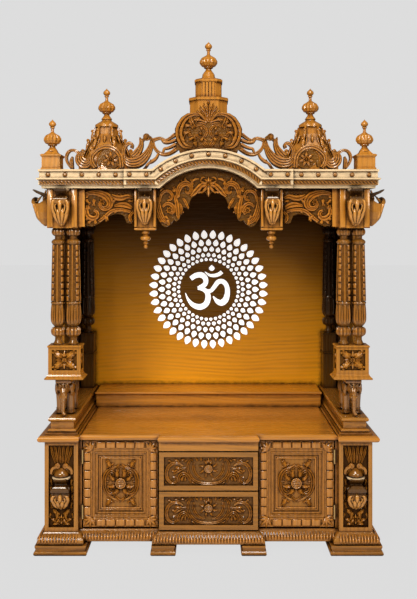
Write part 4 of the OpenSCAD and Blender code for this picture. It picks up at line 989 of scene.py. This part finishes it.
class TEMPLE_OT_boxes(bpy.types.Operator):
    """Carves the leaf squares of the boxes under the columns"""

    bl_idname = "temple.boxes"
    bl_label = "Box carving"

    def execute(self, context):
        flower = [knob(0, 0, 8)]
        for a in (39, 141, 219, 321):
            flower += frond(9 * math.cos(math.radians(a)), 9 * math.sin(math.radians(a)), a, 46, 20, 3, 0, 52)
        for a in (0, 90, 180, 270):
            flower += fan(9 * math.cos(math.radians(a)), 9 * math.sin(math.radians(a)), a, 28, 11, 3, 56)
        level = (BOX_LOW + BOX_TOP - 3) / 2
        pieces = []
        for s in (-1, 1):
            front = relief(flower, 1.4, 1, 3)
            pieces.append(set_on(front, s * COLUMN_X, 30.5, level))
            for out in (-1, 1):
                side = relief(scaled(flower, 0.6), 1.0, 1, 3)
                side.data.transform(Matrix.Rotation(math.radians(90 * out), 4, "Z"))
                pieces.append(set_on(side, s * COLUMN_X + out * 51.5, 56, level))
        finish(joined(pieces), "box_leaves", material("carved_z"), smooth=50)
        return {"FINISHED"}


# ---- elephants


def lump(x, y, z, rx, ry, rz):
    """A smooth ellipsoid about a place in the elephant's own frame, in mm."""
    nothing_selected()
    bpy.ops.mesh.primitive_uv_sphere_add(segments=20, ring_count=12, radius=1)
    obj = bpy.context.object
    obj.data.transform(Matrix.Translation(Vector((x, y, z)) * MM) @ Matrix.Diagonal((rx * MM, ry * MM, rz * MM, 1)))
    return obj


def limb(points):
    return carve([[(Vector(p) * MM, r * MM) for p, r in points]], 3, 5)


def elephant_body():
    """One standing elephant that faces the front, feet at the origin's height, melted into one skin."""
    parts = [lump(0, 92, 88, 33, 52, 36), lump(0, 130, 84, 29, 24, 32), lump(0, 40, 98, 23, 21, 25), lump(0, 36, 116, 16, 15, 12)]
    for s in (-1, 1):
        parts.append(lump(s * 9, 30, 112, 11, 12, 11))
        parts.append(lump(s * 27, 42, 92, 6.5, 11, 24))
        parts.append(lump(s * 31, 46, 100, 4.5, 10, 16))
        for y in (56, 128):
            parts.append(limb([((s * 20, y, 78), 15), ((s * 20, y, 40), 12.5), ((s * 20, y, 12), 12), ((s * 20, y, 1.5), 14)]))
        parts.append(limb([((s * 9, 24, 80), 4), ((s * 12, 14, 70), 3.4), ((s * 12, 7, 66), 2.6), ((s * 11, 4, 70), 1.4)]))
    parts.append(limb([((0, 26, 96), 15), ((0, 15, 76), 11), ((0, 12, 52), 8.6), ((0, 11, 28), 7), ((1, 10, 12), 6), ((5, 7, 6), 5.4),
                       ((10, 6, 11), 4.2)]))
    parts.append(limb([((0, 148, 92), 3.4), ((0, 151, 70), 2.8), ((0, 150, 48), 2.4), ((0, 149, 36), 3.6)]))
    body = joined(parts)
    activate(body)
    skin = body.modifiers.new("skin", "REMESH")
    skin.mode = "VOXEL"
    skin.voxel_size = 0.0019
    bpy.ops.object.modifier_apply(modifier=skin.name)
    soft = body.modifiers.new("soft", "SMOOTH")
    soft.factor = 0.5
    soft.iterations = 5
    bpy.ops.object.modifier_apply(modifier=soft.name)
    return body


def elephant_harness():
    """Beaded head cloth, saddle cloth and anklets."""
    lines = []
    for s in (-1, 1):
        lines.append([((s * 2, 16, 116), 1.6), ((s * 9, 17.5, 108), 2), ((s * 13, 17, 96), 2), ((s * 8, 14, 84), 1.4)])
        lines.append([((s * 20, 21, 122), 1.4), ((s * 15, 17, 114), 2), ((s * 4, 15.5, 104), 2)])
        for z in (6, 14, 20):
            for y in (56, 128):
                r = 13.8 if z < 10 else 12.6
                lines.append([((s * 20 + r * math.cos(a), y + r * math.sin(a), z), 1.5) for a in [math.pi * k / 4 for k in range(9)]])
        for y in (68, 82, 96, 110, 124):
            lines.append([((s * 31, y, 112), 1.4), ((s * 35.4, y, 96), 2), ((s * 35.4, y, 76), 2), ((s * 33.4, y, 70), 3.2)])
        lines.append([((s * 34.4, 62, 80), 1.4), ((s * 36, 92, 76), 1.8), ((s * 34, 134, 80), 1.4)])
        lines.append([((s * 29.5, 33, 76), 1.2), ((s * 33, 38, 96), 1.6), ((s * 27, 36, 112), 1.2)])
        lines.append([((s * 7, 20, 100), 1), ((s * 8.5, 17.5, 102), 2.4), ((s * 10, 20, 103), 1)])
    for z in (88, 78, 68, 58, 48, 38, 28):
        y = 12 + max(z - 52, 0) * 0.12
        r = 7.4 + max(z - 28, 0) * 0.07
        lines.append([((-r, y, z), 0.8), ((-r * 0.6, y - r * 0.75, z - 1), 1.3), ((r * 0.6, y - r * 0.75, z - 1), 1.3), ((r, y, z), 0.8)])
    lines.append([((0, 18, 124), 1), ((0, 15, 114), 2.8), ((0, 13.5, 104), 3.4), ((0, 13, 94), 1)])
    return carve([[(Vector(p) * MM, r * MM) for p, r in s] for s in lines], 1, 3)


class TEMPLE_OT_elephants(bpy.types.Operator):
    """Sculpts the elephants that carry the column boxes"""

    bl_idname = "temple.elephants"
    bl_label = "Elephants"

    def execute(self, context):
        saddle = block(-29, 29, 14, 128, 117, 134, 4, 3)
        saddle.data.transform(Matrix.Translation((0, -FACE_Y, 0)))
        animal = joined([elephant_body(), elephant_harness(), saddle])
        spots = [Matrix.Translation(place(s * SILL_X, 22, SILL_TOP)) for s in (-1, 1)]
        herd = finish(copies(animal, spots), "elephant_sculptures", material("elephant_teak"), smooth=70)
        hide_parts("elephants")
        return {"FINISHED"}


# ---- doors, drawers and piers


def frame_lines(hw, hh, r):
    """Four ridges round a rectangle of half width hw and half height hh."""
    return [
        [(-hw, -hh, r), (0, -hh, r), (hw, -hh, r)], [(-hw, hh, r), (0, hh, r), (hw, hh, r)],
        [(-hw, -hh, r), (-hw, 0, r), (-hw, hh, r)], [(hw, -hh, r), (hw, 0, r), (hw, hh, r)],
    ]


def ribbed_boss(r):
    """A round boss crossed by ribs."""
    lines = [spiral(0, 0, r, r, 0, 360, 0.13 * r, 0.13 * r, 12)]
    for k in (-2, -1, 0, 1, 2):
        z = k * r * 0.36
        half = math.sqrt(max(r * r - z * z, 1)) * 0.84
        lines.append([(-half, z, 0.06 * r), (-half * 0.5, z, 0.16 * r), (half * 0.5, z, 0.16 * r), (half, z, 0.06 * r)])
    return lines


DOOR_W, DOOR_H, BORDER = 267, 308, 29
DOOR_X, DOOR_Z = 316.5, 236


def door_scrolls():
    """Scrolls, leaves and corner sprays of a door's panel, about its middle."""
    lines = []
    for s in (-1, 1):
        lines += [[(s * a, b, r) for a, b, r in line] for line in fluted((
            (2, ((20, 60, 6), (42, 52, 11), (58, 34, 13), (64, 6, 13), (60, -24, 12), (46, -46, 10), (26, -57, 5))),
            (2, ((56, 22, 5), (48, 38, 10), (34, 44, 11), (24, 36, 9), (30, 26, 5))),
            (2, ((58, -4, 5), (52, -26, 11), (38, -38, 12), (24, -34, 9), (26, -22, 5))),
            (2, ((18, 50, 5), (12, 62, 10), (2, 68, 11))), (2, ((20, -50, 5), (12, -62, 10), (2, -68, 11))),
        ), 1.3)]
        for x, z, a, length, width in ((20, 10, 25, 34, 17), (20, -8, -30, 34, 17), (10, 20, 68, 34, 18),
                                       (10, -20, -68, 34, 18), (44, 8, 340, 16, 9), (34, 56, 100, 14, 8)):
            lines += scaled(frond(x, z, a, length, width, 3, 30), 1, flip=s)
        for v in (-1, 1):
            up = 90 - s * 30 if v > 0 else -90 + s * 30
            lines += frond(s * 38, v * 60, up, 34, 17, 3) + fan(s * 40, v * 66, up, 26, 10, 3, 150)
            lines.append(knob(s * 41, v * 68, 6))
            lines.append(knob(s * 30, v * 30, 5.5))
    return scaled(lines, 0.93)


def door_border():
    """Pillow blocks round a door's border, with leaves at its corners."""
    w, h = DOOR_W - 2 * BORDER, DOOR_H - 2 * BORDER
    spots = []
    for i in range(-2, 3):
        for v in (-1, 1):
            spots.append(Matrix.Translation((i * 34.8 * MM, 0, v * (h + BORDER) / 2 * MM)))
    quarter = Matrix.Rotation(math.radians(90), 4, "Y") @ Matrix.Diagonal((0.93, 1, 1, 1))
    for i in range(-3, 4):
        for v in (-1, 1):
            spots.append(Matrix.Translation((v * (w + BORDER) / 2 * MM, 0, i * 32.4 * MM)) @ quarter)
    pillow = block(-16.6, 16.6, -4, 3, -12.4, 12.4, 4.2, 3)
    pillow.data.transform(Matrix.Translation((0, -FACE_Y, 0)))
    border = copies(pillow, spots)
    corner = []
    for sx in (-1, 1):
        for sz in (-1, 1):
            cx, cz = sx * (w - 4) / 2, sz * (h - 4) / 2
            a = math.degrees(math.atan2(sz, sx))
            corner += fan(cx, cz, a, 40, 13, 5, 110)
            corner += [leaf(cx - sx * 6, cz + sz * 8, 90 * sz, 20, 9, 20), leaf(cx + sx * 8, cz - sz * 6, 90 - 90 * sx, 20, 9, 20)]
    return [border, relief(corner, 1.0, 2, 3)]


def drawer_scrolls():
    lines = []
    for s in (-1, 1):
        lines += [[(s * a, b, r) for a, b, r in line] for line in fluted((
            (2, ((90, 18, 5), (110, 28, 9), (134, 23, 11), (148, 4, 12), (150, -18, 11), (141, -36, 10), (126, -43, 8),
                 (114, -36, 7), (115, -24, 6), (127, -21, 6))),
            (2, ((80, 10, 4), (98, 6, 10), (116, -4, 11), (124, -10, 5))),
            (2, ((108, -42, 6), (105, -22, 9), (92, -8, 10), (77, -14, 9), (67, -30, 8), (64, -43, 5))),
            (2, ((58, 46, 5), (71, 28, 8), (73, 4, 8), (63, -20, 8), (44, -37, 8), (16, -45, 8), (0, -46, 8))),
            (2, ((52, 30, 5), (54, 10, 8), (46, -10, 8), (30, -26, 7), (14, -32, 5))),
        ), 1.3)]
        lines += [knob(s * 129, -33, 5), knob(s * 58, 38, 6), knob(s * 48, 16, 4)]
        for x, z, a, length, width in ((96, -38, 100, 24, 11), (82, -38, 80, 22, 10), (120, 8, 160, 24, 10), (132, 2, 200, 18, 9),
                                       (146, 38, 200, 20, 9), (122, 40, 190, 22, 9), (100, 38, 160, 18, 9), (84, 30, 120, 16, 8),
                                       (36, 36, 30, 18, 9), (24, 34, 70, 18, 9), (148, -44, 30, 12, 6), (60, -40, 200, 14, 7)):
            lines += scaled(frond(x, z, a, length, width, 2, 20), 1, flip=s)
    for i in range(8):
        a = 22.5 + 45 * i
        ca, sa = math.cos(math.radians(a)), math.sin(math.radians(a))
        lines += frond(15 * ca, 8 + 15 * sa, a, 19, 10, 2, 18)
    return lines + fan(0, 30, 90, 20, 7, 5, 140)


class TEMPLE_OT_fronts(bpy.types.Operator):
    """Carves the doors and the drawer fronts"""

    bl_idname = "temple.fronts"
    bl_label = "Doors and drawers"

    def execute(self, context):
        for side, s in (("left", -1), ("right", 1)):
            blocks = joined(door_border())
            finish(set_on(blocks, s * DOOR_X, 27, DOOR_Z), "door_blocks_" + side, material("door_gold"), "door_" + side, smooth=50)
            steps = frame_lines(DOOR_W / 2 - 30, DOOR_H / 2 - 30, 1.6) + frame_lines(DOOR_W / 2 - 41.5, DOOR_H / 2 - 41.5, 1.6)
            lip = relief(steps, 1.0, 2, 1)
            finish(set_on(lip, s * DOOR_X, 28.5, DOOR_Z), "door_beads_" + side, material("door_gold"), "door_" + side, smooth=60)
            inner = relief(frame_lines(70, 90, 3.4) + frame_lines(76, 96, 2), 1.0, 2, 1)
            finish(set_on(inner, s * DOOR_X, 36.5, DOOR_Z), "door_steps_" + side, material("door_gold"), "door_" + side, smooth=60)
            boss = relief(ribbed_boss(17), 1.0, 2, 3)
            boss.data.transform(Matrix.Translation((0, -8 * MM, 0)))
            carving = joined([relief(door_scrolls(), 1.5, 1, 3), boss])
            finish(set_on(carving, s * DOOR_X, 37, DOOR_Z), "door_scrolls_" + side, material("panel_carving_z"), "door_" + side, smooth=50)
        for name, low in (("lower", 81), ("upper", 221.5)):
            boss = relief(scaled(ribbed_boss(13), 1, 0, 8), 1.0, 2, 3)
            boss.data.transform(Matrix.Translation((0, -5 * MM, 0)))
            carving = joined([relief(drawer_scrolls(), 1.45, 1, 3), boss])
            finish(set_on(carving, 0, 7, low + 67.75), "drawer_scrolls_" + name, material("panel_carving_x"), "drawer_" + name, smooth=50)
        return {"FINISHED"}


def pier_carving():
    """Leaves, double volutes and bell of a pier's panel, about its middle at panel level."""
    lines = []
    for k in (-2.5, -1.5, -0.5, 0.5, 1.5, 2.5):
        x = k * 13
        lines += flutes(((x * 0.7, 316, 4), (x * 0.8, 332, 9), (x, 352, 11), (x * 1.12, 370, 8), (x * 1.3, 378, 3)), 2)
    for s in (-1, 1):
        lines += [spiral(s * 13.5, 306, 9, 3, 90 - 90 * s, 90 - 90 * s + s * 430, 3.2, 2, 9), knob(s * 13.5, 306, 4)]
        lines += [[(s * a, b, r) for a, b, r in line] for line in fluted((
            (2, ((24, 306, 6), (34, 296, 9), (38, 282, 8), (30, 274, 4))), (1, ((8, 300, 4), (14, 286, 6), (10, 274, 4))),
            (2, ((4, 296, 4), (22, 290, 8), (30, 280, 5)))))]
        for x, z, a, length, width in ((38, 262, 250, 26, 11), (38, 236, 260, 26, 10), (38, 208, 265, 26, 10), (38, 180, 250, 24, 10),
                                       (30, 152, 225, 30, 13), (16, 146, 260, 34, 13), (6, 120, 300, 26, 12), (36, 118, 200, 26, 11),
                                       (30, 98, 160, 24, 11), (40, 140, 270, 20, 9)):
            lines += scaled(frond(x, z, a, length, width, 2, 18), 1, flip=s)
    return lines + rosette(0, 116, 4, 18, 9, 8) + [knob(0, 116, 6)]


def along_base(obj, pitch):
    """Places copies of obj, drawn against the plane y = 0, round the front and sides of the base."""
    p = pitch / MM
    matrices = []
    for x0, x1, y in ((465, 583, 0), (177, 465, 27), (-177, 177, 0), (-465, -177, 27), (-583, -465, 0)):
        grow = 18 if y == 0 else -18
        count = round((x1 - x0 + 2 * grow * (0.5 if abs(x0) == 583 or abs(x1) == 583 else 0.9)) / p)
        middle = (x0 + x1) / 2 + (8 if x1 == 583 else -8 if x0 == -583 else 0)
        for i in range(count):
            matrices.append(Matrix.Translation(place(middle + (i - (count - 1) / 2) * p, y, 0)))
    for s in (-1, 1):
        turn = Matrix.Rotation(math.radians(90 * s), 4, "Z")
        matrices += [Matrix.Translation(place(s * 583, p * (i - 0.5), 0)) @ turn for i in range(int(590 / p))]
    return copies(obj, matrices)


class TEMPLE_OT_base(bpy.types.Operator):
    """Carves the pier panels and the leaf row of the base moulding"""

    bl_idname = "temple.base"
    bl_label = "Piers and base"

    def execute(self, context):
        pieces = [set_on(relief(pier_carving(), 1.5, 1, 3), s * SILL_X, 7.5, 0) for s in (-1, 1)]
        finish(joined(pieces), "pier_leaves", material("carved_z"), smooth=50)
        lines = [[((0, -18, 38), 1.2), ((0, -22.5, 46), 3.4), ((0, -21.5, 55), 3.6), ((0, -13, 65), 2.4), ((0, -7, 70), 0.8)]]
        tongue = carve([[(Vector(p) * MM, r * MM) for p, r in s] for s in lines], 1, 3)
        row = along_base(tongue, context.scene.temple_sizes.base_pitch)
        finish(row, "base_leaves", material("base_carving"), smooth=60)
        return {"FINISHED"}


# ---- roof


def dome_detail():
    """Curled leaves on the ribs and raised tongues on the faces of one dome."""
    k = 104
    lines = []
    for i in range(6):
        a = 60 * i
        for curl in (
            ((0.97, 10, 5), (1.0, 30, 9), (1.01, 48, 9), (1.07, 58, 7), (1.12, 49, 3)),
            ((0.93, 60, 5), (0.92, 80, 9), (0.88, 94, 8), (0.93, 103, 6), (0.98, 95, 3)),
            ((0.77, 104, 5), (0.73, 122, 7.5), (0.69, 136, 6.5), (0.72, 145, 5), (0.77, 138, 2.6)),
            ((0.59, 144, 4), (0.55, 160, 6.5), (0.53, 174, 5.5), (0.55, 182, 4.4), (0.6, 176, 2.2)),
        ):
            lines += around([((r * k, 0, z), w) for r, z, w in curl], 1, a)
        for t in (-1, 1):
            for vein in (((0.95, 10, 16, 2), (0.95, 15, 36, 4), (0.9, 11, 60, 2)), ((0.87, 9, 70, 2), (0.83, 13, 92, 3.6),
                         (0.73, 8, 112, 1.6)), ((0.67, 7, 118, 2), (0.59, 10, 138, 3.2), (0.51, 6, 158, 1.5))):
                lines += around([((r * k, t * side, z), w) for r, side, z, w in vein], 1, a)
        flat = a + 30
        lines += around([((0.85 * k, -27, 14), 2.6), ((0.82 * k, -26, 58), 2.6), ((0.74 * k, -13, 90), 2.6), ((0.72 * k, 0, 97), 2.6),
                         ((0.74 * k, 13, 90), 2.6), ((0.82 * k, 26, 58), 2.6), ((0.85 * k, 27, 14), 2.6)], 1, flat)
        lines += around([((0.6 * k, 0, 128), 2), ((0.58 * k, 0, 140), 6), ((0.5 * k, 0, 160), 2.5)], 1, flat)
    return carve(lines, 1, 3)


class TEMPLE_OT_roof(bpy.types.Operator):
    """Adds the curled leaves and the mouldings of the domes"""

    bl_idname = "temple.roof"
    bl_label = "Domes and tower"

    def execute(self, context):
        spots = [Matrix.Translation(place(s * 407, DECK_Y, CORNICE_TOP / MM)) for s in (-1, 1)]
        finish(copies(dome_detail(), spots), "dome_leaves", material("carved_z"), smooth=60)
        return {"FINISHED"}


# ---- emblem


EMBLEM_RINGS = (1, 0.854, 0.735, 0.63, 0.546)
EMBLEM_R = 238
PETAL_T = 3


def petal_points(w, h, radius, angle):
    """The outline of one petal, w wide and h long, at a radius and an angle from upright."""
    half = ((0.17, 0.43), (0.4, 0.19), (0.5, -0.05), (0.42, -0.28), (0.18, -0.46))
    outline = [(0, 0.53)] + list(half) + [(-x, z) for x, z in reversed(half)]
    c, n = math.cos(math.radians(angle)), math.sin(math.radians(angle))
    return [(x * w * c + (z * h + radius) * n, (z * h + radius) * c - x * w * n) for x, z in outline]


class TEMPLE_OT_emblem(bpy.types.Operator):
    """Cuts the rings of white petals round the sign on the back panel"""

    bl_idname = "temple.emblem"
    bl_label = "Emblem"

    def execute(self, context):
        nothing_selected()
        bpy.ops.curve.primitive_bezier_curve_add()
        obj = bpy.context.object
        curve = obj.data
        curve.splines.clear()
        curve.dimensions = "2D"
        curve.fill_mode = "BOTH"
        curve.extrude = PETAL_T / 2 * MM
        curve.resolution_u = 3
        for k, share in enumerate(EMBLEM_RINGS):
            radius = EMBLEM_R * share
            w = 0.72 * 2 * math.pi * radius / 40
            h = w * (1.35, 1.23, 1.13, 1.05, 1)[k]
            for i in range(40):
                points = petal_points(w, h, radius, (i + ((k + 1) % 2) / 2) * 9)
                spline = curve.splines.new("BEZIER")
                spline.use_cyclic_u = True
                spline.bezier_points.add(len(points) - 1)
                for p, (x, z) in zip(spline.bezier_points, points):
                    p.co = (x * MM, z * MM, 0)
                    p.handle_left_type = p.handle_right_type = "AUTO"
                spline.bezier_points[0].handle_left_type = spline.bezier_points[0].handle_right_type = "VECTOR"
        activate(obj)
        bpy.ops.object.convert(target="MESH")
        obj = bpy.context.object
        obj.data.transform(Matrix.Rotation(math.radians(90), 4, "X"))
        obj.data.transform(Matrix.Translation((0, BACK_Y - PETAL_T / 2 * MM, EMBLEM_Z)))
        rings = finish(obj, "emblem_rings", material("white_inlay"), smooth=0)
        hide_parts("emblem_petals")
        return {"FINISHED"}


# ---- stage


class TEMPLE_OT_stage(bpy.types.Operator):
    """Adds the floor, the soft lights and the camera"""

    bl_idname = "temple.stage"
    bl_label = "Stage"

    def execute(self, context):
        stage = context.scene.temple_stage
        nothing_selected()
        bpy.ops.mesh.primitive_plane_add(size=30, location=(0, 6, -0.0002))
        floor = bpy.context.object
        floor.name = "floor"
        mat = bpy.data.materials.new("pale_floor")
        mat.use_nodes = True
        n = Nodes(mat.node_tree)
        shader = mat.node_tree.nodes["Principled BSDF"]
        shader.inputs["Base Color"].default_value = (*stage.pale, 1)
        shader.inputs["Roughness"].default_value = 0.9
        glow = n.add("Emission", {"Color": (*stage.pale, 1), "Strength": 1.0})
        seen = n.add("LightPath").outputs["Is Camera Ray"]
        blend = n.add("MixShader", {0: n.maths("MULTIPLY", seen, 0.97)})
        n.tree.links.new(shader.outputs[0], blend.inputs[1])
        n.tree.links.new(glow.outputs[0], blend.inputs[2])
        n.tree.links.new(blend.outputs[0], mat.node_tree.nodes["Material Output"].inputs["Surface"])
        floor.data.materials.append(mat)

        world = bpy.data.worlds.new("studio")
        context.scene.world = world
        world.use_nodes = True
        n = Nodes(world.node_tree)
        back = world.node_tree.nodes["Background"]
        path = n.add("LightPath")
        direct = n.maths("MAXIMUM", path.outputs["Is Camera Ray"], path.outputs["Is Transmission Ray"])
        shade = n.mix(direct, (0.62, 0.63, 0.66), tuple(stage.pale))
        n.tree.links.new(shade, back.inputs["Color"])
        n.tree.links.new(n.add("MapRange", {0: direct, 1: 0.0, 2: 1.0, 3: 0.15, 4: 1.0}).outputs[0],
                         back.inputs["Strength"])

        for name, spot, aim, size, power in (
            ("key_light", (-1.5, -2.9, 2.6), (0, 0, 0.9), 0.9, 69),
            ("fill_light", (2.1, -2.8, 1.9), (0, 0, 0.8), 1.0, 30),
            ("top_light", (0.2, -1.5, 3.3), (0, -0.1, 0.9), 0.8, 36),
            ("low_light", (0.1, -3.5, 1.0), (0, 0.3, 0.7), 1.2, 12),
            ("spark_light", (-0.8, -2.8, 1.9), (0, 0, 0.8), 0.25, 9),
        ):
            bpy.ops.object.light_add(type="AREA", location=spot)
            lamp = bpy.context.object
            lamp.name = name
            lamp.data.energy = power
            lamp.data.size = size
            lamp.rotation_euler = (Vector(aim) - Vector(spot)).to_track_quat("-Z", "Y").to_euler()
            lamp.visible_glossy = name != "low_light"

        bpy.ops.object.camera_add(
            location=(0, FACE_Y - stage.distance, stage.eye), rotation=(math.radians(90), 0, 0)
        )
        camera = bpy.context.object
        camera.name = "camera"
        camera.data.lens = stage.lens
        camera.data.sensor_fit = "AUTO"
        camera.data.shift_y = stage.rise
        context.scene.camera = camera
        context.scene.view_settings.view_transform = "Standard"
        return {"FINISHED"}


OPERATORS = (TEMPLE_OT_finishes, TEMPLE_OT_cornice, TEMPLE_OT_crest, TEMPLE_OT_valances,
             TEMPLE_OT_buds, TEMPLE_OT_columns, TEMPLE_OT_boxes, TEMPLE_OT_elephants, TEMPLE_OT_fronts,
             TEMPLE_OT_base, TEMPLE_OT_roof, TEMPLE_OT_emblem, TEMPLE_OT_stage)


class TEMPLE_PT_panel(bpy.types.Panel):
    """Lists the steps of the temple's finish"""

    bl_label = "Temple"
    bl_idname = "TEMPLE_PT_panel"
    bl_space_type = "VIEW_3D"
    bl_region_type = "UI"
    bl_category = "Temple"

    def draw(self, context):
        for group in (context.scene.temple_finish, context.scene.temple_sizes, context.scene.temple_stage):
            for key in group.bl_rna.properties.keys():
                if key not in ("rna_type", "name"):
                    self.layout.prop(group, key)
        for operator in OPERATORS:
            self.layout.operator(operator.bl_idname)


CLASSES = (TempleFinish, TempleSizes, TempleStage, *OPERATORS, TEMPLE_PT_panel)
GROUPS = {"temple_finish": TempleFinish, "temple_sizes": TempleSizes, "temple_stage": TempleStage}


def register():
    for cls in CLASSES:
        bpy.utils.register_class(cls)
    for name, cls in GROUPS.items():
        setattr(bpy.types.Scene, name, PointerProperty(type=cls))


def unregister():
    for name in GROUPS:
        delattr(bpy.types.Scene, name)
    for cls in reversed(CLASSES):
        bpy.utils.unregister_class(cls)


def main():
    register()
    for operator in OPERATORS:
        area, step = operator.bl_idname.split(".")
        getattr(getattr(bpy.ops, area), step)()
    bpy.context.view_layer.update()


if __name__ == "__main__":
    main()
